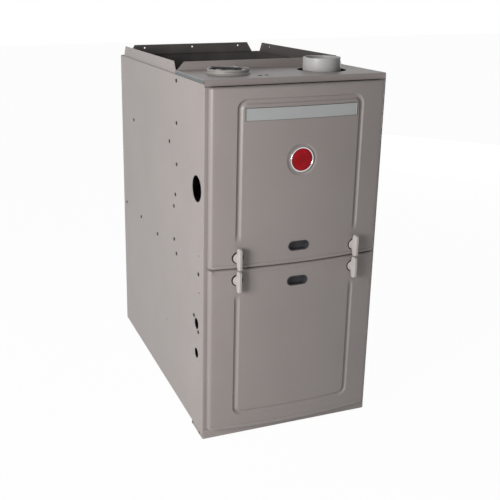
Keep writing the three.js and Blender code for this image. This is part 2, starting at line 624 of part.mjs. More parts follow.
// The embossed groove: up from one knob, round two corners and down to the other; up is +1 on the upper door
// and -1 on the lower one.
function groove(endZ, farZ, up, radius) {
  const reach = GROOVE_HALF_WIDTH;
  const bend = farZ - up * GROOVE_CORNER;
  const sink = (x, depth) => bowY(x) - GROOVE_RADIUS + depth;
  const corner = (side) => arc(at(side * (reach - GROOVE_CORNER), 0, bend), X.clone().multiplyScalar(side),
    Z.clone().multiplyScalar(up), GROOVE_CORNER, 0, 90, 3);
  const across = [-0.6, -0.2, 0.2, 0.6].map((t) => at(t * (reach - GROOVE_CORNER), 0, farZ));
  const path = [
    at(-reach, 0, endZ - up * 12), at(-reach, 0, endZ), at(-reach, 0, endZ + up * 16),
    ...corner(-1), ...across, ...corner(1).reverse(),
    at(reach, 0, endZ + up * 16), at(reach, 0, endZ), at(reach, 0, endZ - up * 12),
  ];
  const depths = path.map((_, i) => {
    const fromEnd = Math.min(i, path.length - 1 - i);
    return [-1.5, GROOVE_DEPTH * 0.4, GROOVE_DEPTH][Math.min(fromEnd, 2)];
  });
  path.forEach((p, i) => { p.y = sink(p.x, depths[i]); });
  return sweep(path, radius, Y, 7);
}

function doorPan({ bottom, top }, { grooveEnd, grooveFar, up, dish = null }) {
  const outer = cut(bowBlock(bottom, top, 0, DOOR_BACK), groove(grooveEnd, grooveFar, up, GROOVE_RADIUS));
  const hollow = cut(
    bowBlock(bottom, top, SHEET, DOOR_BACK + 8, 2),
    groove(grooveEnd, grooveFar, up, GROOVE_RADIUS + SHEET),
  );
  const knobHoles = [-1, 1].map((side) => rod('y', KNOB_HOLE_RADIUS, -40, -5,
    [side * GROOVE_HALF_WIDTH, SEAM_HEIGHT + up * KNOB_OFFSET], 14));
  const cup = prism(obround(CUP_WIDTH + SEAT * 2, CUP_HEIGHT + SEAT * 2, SEAM_HEIGHT + up * CUP_OFFSET), 'y', -45, -5);
  const shell = dish
    ? cut(cut(outer, dish(0)), cut(hollow, dish(SHEET)))
    : cut(outer, hollow);
  return cut(shell, knobHoles, cup);
}

// A slot with round ends, centred on x = 0 at a height.
function obround(width, height, z) {
  const radius = height / 2;
  const reach = width / 2 - radius;
  const shape = new THREE.Shape();
  shape.moveTo(-reach, z - radius);
  shape.lineTo(reach, z - radius);
  shape.absarc(reach, z, radius, -Math.PI / 2, Math.PI / 2, false);
  shape.lineTo(-reach, z + radius);
  shape.absarc(-reach, z, radius, Math.PI / 2, (3 * Math.PI) / 2, false);
  return shape;
}

const badgeZ = UPPER_DOOR.top - BADGE_DROP;
const badgeFloor = bowY(0) + BADGE_DISH_DEPTH;

// The dish that the badge sits in, with its wall moved out by a sheet's thickness for the hollow side.
const badgeDish = (offset) => turned([
  [0, badgeFloor + offset], [BADGE_RADIUS + 1 + offset, badgeFloor + offset],
  [BADGE_RADIUS + 6 + offset * 2, bowY(0) - 3], [0, bowY(0) - 3],
], 'y', [0, badgeZ], 20);

const upperDoor = () => doorPan(UPPER_DOOR, {
  grooveEnd: SEAM_HEIGHT + GROOVE_END_GAP + 12, grooveFar: UPPER_DOOR.top - GROOVE_TOP_MARGIN, up: 1, dish: badgeDish,
});
const lowerDoor = () => doorPan(LOWER_DOOR, {
  grooveEnd: SEAM_HEIGHT - GROOVE_END_GAP - 12, grooveFar: LOWER_DOOR.bottom + GROOVE_FOOT_MARGIN, up: -1,
});

// A silver strip bowed like the door.
function nameStrip() {
  const half = STRIP_WIDTH / 2;
  const middle = UPPER_DOOR.top - STRIP_DROP;
  const steps = 10;
  const curve = (offset) => Array.from({ length: steps + 1 }, (_, i) => {
    const x = -half + (STRIP_WIDTH * i) / steps;
    return point(x, bowY(x) - SEAT - offset);
  });
  const outline = [...curve(STRIP_THICKNESS), ...curve(0).reverse()];
  return prism(outline, 'z', middle - STRIP_HEIGHT / 2, middle + STRIP_HEIGHT / 2);
}

const badgeRing = () => turned([
  [BADGE_DISC_RADIUS + SEAT, badgeFloor - SEAT], [BADGE_RADIUS, badgeFloor - SEAT], [BADGE_RADIUS, badgeFloor - 3.4],
  [(BADGE_RADIUS + BADGE_DISC_RADIUS) / 2, badgeFloor - 4.6], [BADGE_DISC_RADIUS + SEAT, badgeFloor - 3.6],
], 'y', [0, badgeZ], 20);

const badgeDisc = () => turned([
  [0, badgeFloor - SEAT], [BADGE_DISC_RADIUS, badgeFloor - SEAT], [BADGE_DISC_RADIUS, badgeFloor - 2.4],
  [BADGE_DISC_RADIUS * 0.6, badgeFloor - 3.4], [0, badgeFloor - 3.8],
], 'y', [0, badgeZ], 20);

function fingerCup(z) {
  const front = bowY(0) - 0.8;
  const lip = prism(obround(CUP_WIDTH + CUP_LIP * 2, CUP_HEIGHT + CUP_LIP * 2, z), 'y', front - 0.9, bowY(0) - SEAT);
  const body = prism(obround(CUP_WIDTH - 0.4, CUP_HEIGHT - 0.4, z), 'y', front - 0.5, front + CUP_DEPTH);
  const hollow = prism(
    obround(CUP_WIDTH - 2 * CUP_WALL, CUP_HEIGHT - 2 * CUP_WALL, z), 'y', front - 5, front + CUP_DEPTH - CUP_WALL);
  return cut(join(lip, body), hollow);
}

// ---------------------------------------------------------------- knobs
// A quarter-turn knob about the y axis, made at the origin with the door's outer face at y = 0: a hub in the
// door's hole, a flange behind the sheet, a wing to turn it by and a tongue that swings behind the rail. The
// tongue points sideways at rest.
function knob(side) {
  const stemEnd = -bowY(GROOVE_HALF_WIDTH) + TONGUE_REACH;
  const doorSlope = bowY(GROOVE_HALF_WIDTH + KNOB_FLANGE_RADIUS) - bowY(GROOVE_HALF_WIDTH);
  const flange = doorSlope + SHEET * 1.02 + SEAT; // clears the sloping sheet at the flange's outer edge
  const body = turned([
    [0, -KNOB_HUB_RISE], [KNOB_HUB_RADIUS, -KNOB_HUB_RISE], [KNOB_HUB_RADIUS, flange], [KNOB_FLANGE_RADIUS, flange],
    [KNOB_FLANGE_RADIUS, flange + KNOB_FLANGE_THICKNESS], [KNOB_STEM_RADIUS, flange + KNOB_FLANGE_THICKNESS],
    [KNOB_STEM_RADIUS, stemEnd], [0, stemEnd],
  ], 'y', [0, 0], 10);
  const half = KNOB_WING_LENGTH / 2;
  const reach = KNOB_WING_REACH;
  const wing = new THREE.Shape();
  wing.moveTo(-2, -half * 0.42);
  wing.lineTo(-6, -half * 0.86);
  wing.quadraticCurveTo(-8, -half, -13, -half * 0.98);
  wing.quadraticCurveTo(-reach, -half * 0.9, -reach, 0);
  wing.quadraticCurveTo(-reach, half * 0.9, -13, half * 0.98);
  wing.quadraticCurveTo(-8, half, -6, half * 0.86);
  wing.lineTo(-2, half * 0.42);
  const blade = new THREE.ExtrudeGeometry(wing, {
    depth: KNOB_WING_WIDTH - 2.4, bevelThickness: 1.2, bevelSize: 1.2, bevelSegments: 1, curveSegments: 2,
  });
  const tongue = side < 0
    ? block(-TONGUE_LENGTH, KNOB_STEM_RADIUS, stemEnd - TONGUE_THICKNESS, stemEnd, -TONGUE_WIDTH / 2, TONGUE_WIDTH / 2)
    : block(-KNOB_STEM_RADIUS, TONGUE_LENGTH, stemEnd - TONGUE_THICKNESS, stemEnd, -TONGUE_WIDTH / 2, TONGUE_WIDTH / 2);
  return join(body, solidOf(alongAxis(blade, 'x', -KNOB_WING_WIDTH / 2 + 1.2, 0)), tongue);
}

// ---------------------------------------------------------------- top fittings
function ventStub() {
  const bottom = VENT_STUB_TOP - VENT_STUB_LENGTH;
  const bore = VENT_STUB_RADIUS - VENT_STUB_WALL;
  const socket = boreFor(VENT_PIPE_RADIUS, 18);
  return turned([
    [socket, bottom], [VENT_STUB_RADIUS - 6, bottom], [VENT_STUB_RADIUS, bottom + 10], [VENT_STUB_RADIUS, VENT_STUB_TOP],
    [bore, VENT_STUB_TOP], [bore, bottom + 28], [VENT_PIPE_RADIUS - 4, bottom + 22], [VENT_PIPE_RADIUS - 4, bottom + 18],
    [socket, bottom + 18],
  ], 'z', [VENT_X, VENT_Y], 18);
}

function ventPipe() {
  const top = VENT_STUB_TOP - VENT_STUB_LENGTH + 18 - SEAT;
  const bottom = INDUCER_OUTLET_TOP + 12;
  return turned([
    [VENT_PIPE_RADIUS - VENT_PIPE_WALL, bottom], [VENT_PIPE_RADIUS, bottom], [VENT_PIPE_RADIUS, top],
    [VENT_PIPE_RADIUS - VENT_PIPE_WALL, top],
  ], 'z', [VENT_X, VENT_Y], 16);
}

// A spun collar with a rolled lip and four clips that hold the pipe.
function intakeCollar() {
  const foot = CABINET_HEIGHT + SEAT;
  const top = foot + COLLAR_HEIGHT;
  const ring = turned([
    [INTAKE_PIPE_RADIUS + 2, foot], [COLLAR_RADIUS, foot], [COLLAR_RADIUS, foot + 2], [COLLAR_RADIUS - 4, foot + 4],
    [COLLAR_RADIUS - 4, top - 4], [COLLAR_RADIUS - 2, top - 1.5], [COLLAR_RADIUS - 7.5, top],
    [COLLAR_RADIUS - 7.5, foot + 2], [INTAKE_PIPE_RADIUS + 2, foot + 2],
  ], 'z', [INTAKE_X, INTAKE_Y], 18);
  const clips = [40, 130, 220, 310].map((degrees) => {
    const clip = new THREE.BoxGeometry(CLIP_DEPTH, CLIP_WIDTH, CLIP_THICKNESS);
    clip.translate(COLLAR_RADIUS - 7, 0, top - 0.6);
    clip.rotateZ(radians(degrees));
    clip.translate(INTAKE_X, INTAKE_Y, 0);
    return solidOf(clip);
  });
  return join(ring, clips);
}

const intakeSeal = () => turned([
  [INTAKE_PIPE_RADIUS - INTAKE_PIPE_WALL, PIPE_TOP + SEAT], [COLLAR_RADIUS - 8.4, PIPE_TOP + SEAT],
  [COLLAR_RADIUS - 8.4, PIPE_TOP + 4.5], [INTAKE_PIPE_RADIUS - 2, PIPE_TOP + 4.5],
], 'z', [INTAKE_X, INTAKE_Y], 20);

const intakePipe = () => turned([
  [INTAKE_PIPE_RADIUS - INTAKE_PIPE_WALL, BOX_TOP + SEAT], [INTAKE_PIPE_RADIUS, BOX_TOP + SEAT],
  [INTAKE_PIPE_RADIUS, PIPE_TOP], [INTAKE_PIPE_RADIUS - INTAKE_PIPE_WALL, PIPE_TOP],
], 'z', [INTAKE_X, INTAKE_Y], 16);

// ---------------------------------------------------------------- blower
// The scroll's outline in the (y, z) plane: it winds out from the throat, under the wheel and up the back.
function scrollOutline(inset, top) {
  const steps = 13;
  const winding = Array.from({ length: steps + 1 }, (_, i) => {
    const angle = radians(SCROLL_START_ANGLE + ((360 - SCROLL_START_ANGLE) * i) / steps);
    const gap = SCROLL_START_GAP + ((SCROLL_END_GAP - SCROLL_START_GAP) * i) / steps;
    const radius = WHEEL_RADIUS + gap - inset;
    return point(BLOWER_Y + radius * Math.cos(angle), BLOWER_Z + radius * Math.sin(angle));
  });
  winding[0].x = scrollThroat + inset;
  return [point(scrollThroat + inset, top), ...winding, point(scrollBack - inset, top)];
}

function blowerHousing() {
  const half = SCROLL_WIDTH / 2;
  const top = DECK_Z - SHEET / 2 - SEAT;
  const outer = prism(scrollOutline(0, top), 'x', -half, half);
  const inner = prism(scrollOutline(SCROLL_SHEET, top + 10), 'x', -half + SCROLL_SHEET, half - SCROLL_SHEET);
  const inlets = rod('x', INLET_RADIUS, -half - 5, half + 5, [BLOWER_Y, BLOWER_Z], 16);
  const mouth = (side) => turned([
    [INLET_RADIUS - 1, side * (half - 1)], [INLET_RADIUS + 9, side * (half - 1)], [INLET_RADIUS + 5, side * (half + 5)],
    [INLET_RADIUS - 1, side * (half + 2)],
  ], 'x', [BLOWER_Y, BLOWER_Z], 16);
  const ears = [-1, 1].map((side) => block(
    Math.min(side * (half - 1), side * (half + 16)), Math.max(side * (half - 1), side * (half + 16)),
    scrollThroat + 8, scrollBack - 8, top - 24, top - 24 + SCROLL_SHEET));
  return join(cut(outer, inner, inlets), mouth(-1), mouth(1), ears);
}

// The rails that the housing's ears slide on, hung under the deck.
function blowerRail(side) {
  const half = SCROLL_WIDTH / 2;
  const top = DECK_Z - SHEET / 2 - SEAT;
  const shelf = top - 24 - SEAT - SHEET / 2;
  const rail = prism(foldedSheet([
    [side * (half + 3), shelf], [side * (half + 19), shelf], [side * (half + 19), top - SHEET / 2],
    [side * (half + 32), top - SHEET / 2],
  ]), 'y', scrollThroat - 60, scrollBack + 20);
  return rail;
}

// The squirrel cage wheel: forward curved blades between two end rings, on a centre disc, hub and shaft.
function blowerWheel() {
  const half = WHEEL_WIDTH / 2;
  const inner = WHEEL_RADIUS - BLADE_DEPTH;
  const stations = [0, 0.5, 1];
  const bladeSide = (offset) => stations.map((t) => {
    const radius = inner + 1 + t * (BLADE_DEPTH - 2);
    const angle = radians(BLADE_SWEEP * t * t) + offset / radius;
    return point(radius * Math.cos(angle), radius * Math.sin(angle));
  });
  const blade = new THREE.Shape([...bladeSide(-BLADE_THICKNESS / 2), ...bladeSide(BLADE_THICKNESS / 2).reverse()]);
  const blades = Array.from({ length: WHEEL_BLADES }, (_, i) => {
    const geometry = new THREE.ExtrudeGeometry(blade, { depth: WHEEL_WIDTH - 2, bevelEnabled: false });
    geometry.rotateZ((2 * Math.PI * i) / WHEEL_BLADES);
    return solidOf(alongAxis(geometry, 'x', -half + 1, 0));
  });
  const ring = (side) => turned([
    [inner, side * (half - END_RING_WIDTH)], [WHEEL_RADIUS, side * (half - END_RING_WIDTH)],
    [WHEEL_RADIUS, side * half], [inner, side * half],
  ], 'x', [0, 0], WHEEL_BLADES);
  const disc = rod('x', inner + 6, -1, 1, [0, 0], WHEEL_BLADES);
  const hub = turned([
    [0, -16], [HUB_RADIUS, -16], [HUB_RADIUS, 14], [SHAFT_RADIUS, 14], [SHAFT_RADIUS, 38], [0, 38],
  ], 'x', [0, 0], 10);
  return join(ring(-1), ring(1), disc, hub, blades);
}

function blowerMotor() {
  const start = 22;
  const end = start + MOTOR_LENGTH;
  const shell = turned([
    [0, start], [20, start], [22, start + 6], [MOTOR_RADIUS - 10, start + 8], [MOTOR_RADIUS, start + 18],
    [MOTOR_RADIUS, end - 16], [MOTOR_RADIUS - 16, end], [0, end],
  ], 'x', [BLOWER_Y, BLOWER_Z], 16);
  return cut(shell, rod('x', SHAFT_RADIUS + SEAT, start - 2, start + 17, [BLOWER_Y, BLOWER_Z], 12));
}

// A belly band round the motor with three arms to the housing's side.
function motorMount() {
  const half = SCROLL_WIDTH / 2;
  const bandStart = half - 8;
  const bandEnd = half + 14;
  const band = turned([
    [MOTOR_RADIUS + SEAT, bandStart], [MOTOR_RADIUS + SEAT + 2.5, bandStart], [MOTOR_RADIUS + SEAT + 2.5, bandEnd],
    [MOTOR_RADIUS + SEAT, bandEnd],
  ], 'x', [BLOWER_Y, BLOWER_Z], 16);
  const foot = half + 5 + SEAT;
  const legs = Array.from({ length: MOUNT_ARMS }, (_, i) => {
    const angle = radians(90 + (360 / MOUNT_ARMS) * i);
    const arm = new THREE.ExtrudeGeometry(new THREE.Shape(foldedSheet([
      [MOTOR_RADIUS + 1.5, half + 11], [INLET_RADIUS - 8, half + 11], [INLET_RADIUS + 4, foot + 1.2],
      [INLET_RADIUS + 18, foot + 1.2],
    ], MOUNT_ARM_THICKNESS, 3)), { depth: MOUNT_ARM_WIDTH, bevelEnabled: false });
    arm.translate(0, 0, -MOUNT_ARM_WIDTH / 2);
    // drawn as (radius, x): radius goes to y, the second axis to x
    arm.applyMatrix4(new THREE.Matrix4().makeBasis(at(0, 1, 0), at(1, 0, 0), at(0, 0, -1)));
    arm.rotateX(angle);
    arm.translate(0, BLOWER_Y, BLOWER_Z);
    return solidOf(arm);
  });
  return join(band, legs);
}

// ---------------------------------------------------------------- controls in the blower compartment
const CONTROL_Y = 60;
const PLUNGER_RADIUS = 4;
const CONTROL = { left: -205, right: -40, bottom: 268, top: DECK_Z - SHEET / 2 - SEAT };

function controlPanel() {
  return prism(foldedSheet([
    [CONTROL_Y + 26, CONTROL.top - SHEET / 2], [CONTROL_Y, CONTROL.top - SHEET / 2], [CONTROL_Y, CONTROL.bottom],
    [CONTROL_Y + 12, CONTROL.bottom],
  ]), 'x', CONTROL.left, CONTROL.right);
}

function controlBoard() {
  const face = CONTROL_Y - SHEET / 2 - SEAT;
  const posts = [[-188, 296], [-92, 296], [-188, 372], [-92, 372]].map(
    ([x, z]) => rod('y', 3, face - 8.5, face, [x, z], 6));
  const board = block(-196, -84, face - 10, face - 8.4, 288, 380);
  const parts = [
    block(-190, -170, face - 26, face - 9, 346, 366), block(-166, -148, face - 26, face - 9, 346, 366),
    block(-140, -120, face - 22, face - 9, 330, 358), block(-112, -90, face - 18, face - 9, 316, 364),
    block(-186, -130, face - 18, face - 9, 292, 302), block(-180, -160, face - 14, face - 9, 312, 330),
  ];
  return join(board, posts, parts);
}

function transformer() {
  const face = CONTROL_Y - SHEET / 2 - SEAT;
  const core = block(-76, -46, face - 40, face - 4, 300, 344);
  const coil = block(-72, -50, face - 46, face - 4, 306, 338);
  const foot = block(-78, -44, face - 2, face, 292, 352);
  const post = block(-74, -48, face - 5, face - 1, 302, 342);
  return join(core, coil, foot, post);
}

function junctionBox() {
  const left = -INNER_HALF + SEAT;
  const outer = block(left, left + 42, 74, 146, 236, 336);
  const inner = block(left + 1.5, left + 50, 75.5, 144.5, 237.5, 334.5);
  return cut(outer, inner, rod('x', 10, left - 5, left + 5, [110, 286], 14));
}

// The door switch hangs under the deck, and the lower door holds its plunger in.
const SWITCH = { x: 60, z: 396, front: 2, depth: 30, travel: 6 };
function doorSwitch() {
  const { x, z, front, depth } = SWITCH;
  const body = block(x - 14, x + 14, front, front + depth, z - 9, z + 9);
  const bracket = block(x - 16, x + 16, front, front + depth + 2, z + 8, z + 10);
  const post = block(x - 16, x + 16, front + depth + 0.5, front + depth + 2, z + 8, DECK_Z - SHEET / 2 - SEAT);
  return cut(join(body, bracket, post), rod('y', boreFor(PLUNGER_RADIUS, 12), front - 5, front + 18, [x, z], 12));
}

// The plunger, from just behind the door's inner face.
function doorSwitchPlunger() {
  const tip = bowY(SWITCH.x) + SHEET + SEAT + 0.3;
  const end = SWITCH.front + 18 - SWITCH.travel - 1;
  return turned([
    [0, tip], [PLUNGER_RADIUS - 2, tip], [PLUNGER_RADIUS, tip + 2], [PLUNGER_RADIUS, end], [0, end],
  ], 'y', [0, 0], 12);
}

// ---------------------------------------------------------------- burners, gas train, heat exchanger
function burnerBox() {
  const outer = block(BOX_LEFT, BOX_RIGHT, BOX_FRONT, BOX_BACK, BOX_BOTTOM, BOX_TOP);
  const inner = block(
    BOX_LEFT + SHEET, BOX_RIGHT - SHEET, BOX_FRONT + SHEET, BOX_BACK + 5, BOX_BOTTOM + SHEET, BOX_TOP - SHEET);
  const orifices = BURNER_XS.map((x) => rod('y', 7, BOX_FRONT - 5, BOX_FRONT + 5, [x, BURNER_Z], 12));
  const intake = rod('z', INTAKE_PIPE_RADIUS - INTAKE_PIPE_WALL, BOX_TOP - 5, BOX_TOP + 5, [INTAKE_X, INTAKE_Y], 20);
  const hanger = block(BOX_LEFT + SHEET / 2, BOX_RIGHT - SHEET / 2, BURNER_FRONT + 14, BURNER_FRONT + 26,
    BOX_BOTTOM + SHEET / 2, BURNER_Z - 12 - SEAT);
  return join(cut(outer, inner, orifices, intake), hanger);
}

// An in-shot burner: a bell, a venturi throat and a flared head, on the y axis with its mouth at y = 0.
const burner = () => turned([
  [15, 0], [17, 0], [12, 14], [10.6, 34], [18.5, 74], [18.5, BURNER_LENGTH], [17, BURNER_LENGTH],
  [17, 75], [9.1, 34], [10.5, 14],
], 'y', [0, 0], 8);

function gasManifold() {
  const left = BURNER_XS[0] - 20;
  const right = BURNER_XS[BURNER_COUNT - 1] + 16;
  const pipe = rod('x', MANIFOLD_RADIUS, left, right, [MANIFOLD_Y, BURNER_Z], 10);
  const spuds = BURNER_XS.map((x) => rod('y', 5, MANIFOLD_Y, BURNER_FRONT - 3, [x, BURNER_Z], 8));
  const drop = rod('z', MANIFOLD_RADIUS, VALVE.top + SEAT, BURNER_Z, [VALVE.x, MANIFOLD_Y], 10);
  const nut = rod('z', MANIFOLD_RADIUS + 4, VALVE.top + SEAT, VALVE.top + 14, [VALVE.x, MANIFOLD_Y], 6);
  return join(pipe, spuds, drop, nut);
}

const VALVE = { x: -12, bottom: 606, top: 676 };
function gasValve() {
  const body = block(VALVE.x - 34, VALVE.x + 34, 18, 66, VALVE.bottom, VALVE.top - 8);
  const tower = rod('z', 16, VALVE.bottom + 10, VALVE.top, [VALVE.x, MANIFOLD_Y], 16);
  const inlet = rod('x', 14, VALVE.x - 58, VALVE.x - 30, [MANIFOLD_Y, VALVE.bottom + 24], 14);
  const coil = block(VALVE.x - 33, VALVE.x - 15, 24, 60, VALVE.bottom + 20, VALVE.top + 6);
  const bracket = block(VALVE.x - 20, VALVE.x + 20, 60, BOX_BACK + 0.2, VALVE.bottom + 6, VALVE.bottom + 12);
  const socket = rod('x', 10, VALVE.x - 70, VALVE.x - 40, [MANIFOLD_Y, VALVE.bottom + 24], 14);
  return cut(join(body, tower, inlet, coil, bracket), socket);
}
const gasValveKnob = () => join(
  turned([[0, 0], [12, 0], [12, -10], [0, -10]], 'y', [0, 0], 12),
  block(-2.5, 2.5, -17, -6, -11, 11),
);

// The igniter and the flame sensor hang from the burner box's roof in front of the first and last burner head.
function hangingProbe(x, element) {
  const roof = BOX_TOP - SHEET - SEAT;
  const y = (BURNER_FRONT + BURNER_LENGTH + BOX_BACK) / 2;
  const base = block(x - 8, x + 8, y - 4, y + 4, roof - 16, roof);
  return join(base, element(x, y, roof - 16));
}
const igniter = () => hangingProbe(BURNER_XS[BURNER_COUNT - 1], (x, y, top) => join(
  block(x - 6, x - 2, y - 1.5, y + 1.5, top - 22, top + 1), block(x + 2, x + 6, y - 1.5, y + 1.5, top - 22, top + 1),
  block(x - 6, x + 6, y - 1.5, y + 1.5, top - 24, top - 20)));
const flameSensor = () => hangingProbe(BURNER_XS[0], (x, y, top) => rod('z', 1.6, top - 28, top + 1, [x, y], 8));

const ROLLOUT = { x: 34, y: 120 };
const rolloutSwitch = () => cut(
  turned([[0, 0], [14, 0], [14, 2], [9, 2], [9, 12], [0, 12]], 'z', [ROLLOUT.x, ROLLOUT.y], 12),
  rod('z', 3.5, 3.5, 20, [ROLLOUT.x, ROLLOUT.y], 8),
);
const rolloutResetButton = () => turned([[0, 0], [3, 0], [3, 9.4], [2.2, 10.4], [0, 10.4]], 'z', [0, 0], 8);

// One serpentine heat exchanger tube: back, down, forward, down, back and down into the coil's header.
function heatTube(x) {
  const bend = TUBE_PASS_DROP / 2;
  const z = BURNER_Z;
  const front = VESTIBULE_Y + SHEET / 2 + SEAT;
  const rearBend = arc(at(x, TUBE_REAR_Y, z - bend), Y, Z, bend, 90, -90, 4);
  const frontBend = arc(at(x, TUBE_FRONT_Y, z - 3 * bend), Y, Z, bend, 90, 270, 4);
  const end = COIL_TOP + COIL_HEADER_RISE + SEAT;
  const lastRadius = z - 4 * bend - end - 6;
  const lastBend = arc(at(x, TUBE_REAR_Y - 26, end + 6), Y, Z, lastRadius, 90, 0, 3);
  const mouth = at(x, TUBE_REAR_Y - 26 + lastRadius, end);
  return sweep([at(x, front, z), ...rearBend, ...frontBend, ...lastBend, mouth], TUBE_RADIUS, X, 8);
}

// The condensing coil: a stack of upright fins between end plates, with the header that takes the tubes.
function secondaryCoil() {
  const half = INNER_HALF - 8;
  const front = VESTIBULE_Y + SHEET / 2 + SEAT;
  const back = TUBE_REAR_Y + 60;
  const bottom = COIL_TOP - COIL_HEIGHT;
  const pitch = (2 * half) / COIL_FINS;
  const outline = [point(-half, bottom), point(half, bottom), point(half, COIL_TOP)];
  for (let i = COIL_FINS - 1; i > 0; i -= 1) {
    const x = -half + i * pitch;
    outline.push(point(x + pitch * 0.32, COIL_TOP), point(x + pitch * 0.32, bottom + 22));
    outline.push(point(x - pitch * 0.32, bottom + 22), point(x - pitch * 0.32, COIL_TOP));
  }
  outline.push(point(-half, COIL_TOP));
  const fins = prism(outline, 'y', front + 14, back - 90);
  const frontPlate = block(-half, half, front, front + 15, bottom, COIL_TOP);
  const header = block(-half, half, back - 91, back, bottom, COIL_TOP + COIL_HEADER_RISE);
  const feet = block(-half, half, front + 4, back - 4, DECK_Z + SHEET / 2 + SEAT, bottom + 1);
  const outlet = block(
    -SCROLL_WIDTH / 2, SCROLL_WIDTH / 2, scrollThroat, scrollBack, DECK_Z - 5, bottom + 20);
  return cut(join(fins, frontPlate, header, feet), outlet);
}

// The black plastic box in front of the vestibule panel that gathers the coil's flue gas and condensate.
const COLLECTOR = {
  left: -60, right: 196, bottom: 458, top: 600, front: VENT_Y + INDUCER_WIDTH / 2 + SEAT,
};
function collectorBox() {
  const body = block(COLLECTOR.left, COLLECTOR.right, COLLECTOR.front, BOX_BACK - 0.2, COLLECTOR.bottom, COLLECTOR.top);
  const hollow = block(
    COLLECTOR.left + 4, COLLECTOR.right - 4, COLLECTOR.front + 4, BOX_BACK + 5, COLLECTOR.bottom + 4, COLLECTOR.top - 4);
  const rib = (x) => block(
    x - 1.5, x + 1.5, COLLECTOR.front + 2, BOX_BACK - 0.2, COLLECTOR.bottom + 2, COLLECTOR.top - 2);
  const port = rod('y', 26, COLLECTOR.front - 5, COLLECTOR.front + 10, [INDUCER_X, INDUCER_Z], 20);
  const spigot = rod('x', 7, COLLECTOR.left - 16, COLLECTOR.left + 2, [150, COLLECTOR.bottom + 14], 12);
  const drain = rod('x', 4.5, COLLECTOR.left - 20, COLLECTOR.left + 10, [150, COLLECTOR.bottom + 14], 10);
  return cut(join(cut(body, hollow), rib(10), rib(120), spigot), port, drain);
}

// ---------------------------------------------------------------- inducer
const inducerBack = COLLECTOR.front - SEAT;
const inducerFront = inducerBack - INDUCER_WIDTH;

// The inducer's scroll in the (x, z) plane: it winds from the throat round the wheel and up to the spout.
function inducerOutline(inset) {
  const steps = 9;
  const first = INDUCER_WHEEL_RADIUS + 8;
  const last = VENT_X + INDUCER_SPOUT_RADIUS - INDUCER_X;
  const winding = Array.from({ length: steps + 1 }, (_, i) => {
    const angle = radians(65 + (295 * i) / steps);
    const radius = first + (last - first) * (i / steps) - inset;
    return point(INDUCER_X + radius * Math.cos(angle), INDUCER_Z + radius * Math.sin(angle));
  });
  return [
    point(VENT_X - INDUCER_SPOUT_RADIUS + inset, INDUCER_SHOULDER - inset), ...winding,
    point(VENT_X + INDUCER_SPOUT_RADIUS - inset, INDUCER_SHOULDER - inset),
  ];
}

function inducerHousing() {
  const outer = prism(inducerOutline(0), 'y', inducerFront, inducerBack);
  const inner = prism(inducerOutline(INDUCER_WALL), 'y', inducerFront + INDUCER_WALL, inducerBack - INDUCER_WALL);
  const spout = rod('z', INDUCER_SPOUT_RADIUS, INDUCER_SHOULDER - 8, INDUCER_OUTLET_TOP, [VENT_X, VENT_Y], 12);
  const bore = rod('z', INDUCER_SPOUT_RADIUS - INDUCER_SPOUT_WALL, INDUCER_SHOULDER - 30, INDUCER_OUTLET_TOP + 5,
    [VENT_X, VENT_Y], 12);
  const inlet = rod('y', INDUCER_INLET_RADIUS, inducerBack - 5, inducerBack + 5, [INDUCER_X, INDUCER_Z], 12);
  const shaftHole = rod('y', 8, inducerFront - 5, inducerFront + 5, [INDUCER_X, INDUCER_Z], 8);
  return cut(join(outer, spout), inner, bore, inlet, shaftHole);
}

function inducerWheel() {
  const blades = Array.from({ length: INDUCER_BLADES }, (_, i) => {
    const blade = new THREE.BoxGeometry(INDUCER_WHEEL_RADIUS - 16, 22, 1.6);
    blade.translate((INDUCER_WHEEL_RADIUS + 14) / 2 - 1, 0, 0);
    blade.rotateY((2 * Math.PI * i) / INDUCER_BLADES);
    return solidOf(blade);
  });
  const shaftEnd = -(INDUCER_WIDTH - INDUCER_WHEEL_SETBACK + SEAT + 12);
  const disc = turned([
    [0, shaftEnd], [4, shaftEnd], [4, -12], [INDUCER_WHEEL_RADIUS, -12], [INDUCER_WHEEL_RADIUS, -10],
    [12, -10], [12, 6], [0, 6],
  ], 'y', [0, 0], 16);
  return join(disc, blades);
}

function inducerMotor() {
  const back = inducerFront - SEAT;
  const shell = turned([
    [0, back - 56], [26, back - 56], [38, back - 44], [38, back - 12], [30, back - 6], [30, back], [0, back],
  ], 'y', [INDUCER_X, INDUCER_Z], 14);
  return cut(shell, rod('y', 4.6, back - 14, back + 2, [INDUCER_X, INDUCER_Z], 10));
}

// The rubber boot that joins the inducer's spout to the vent pipe.
function ventBoot() {
  const bottom = INDUCER_OUTLET_TOP - 20;
  const top = INDUCER_OUTLET_TOP + 40;
  const spout = boreFor(INDUCER_SPOUT_RADIUS, 12);
  const pipe = boreFor(VENT_PIPE_RADIUS, 12);
  return turned([
    [spout, bottom], [INDUCER_SPOUT_RADIUS + BOOT_WALL, bottom], [INDUCER_SPOUT_RADIUS + BOOT_WALL, bottom + 15],
    [VENT_PIPE_RADIUS + BOOT_WALL, bottom + 32], [VENT_PIPE_RADIUS + BOOT_WALL, top], [pipe, top], [pipe, bottom + 31],
    [spout, bottom + 24],
  ], 'z', [VENT_X, VENT_Y], 12);
}

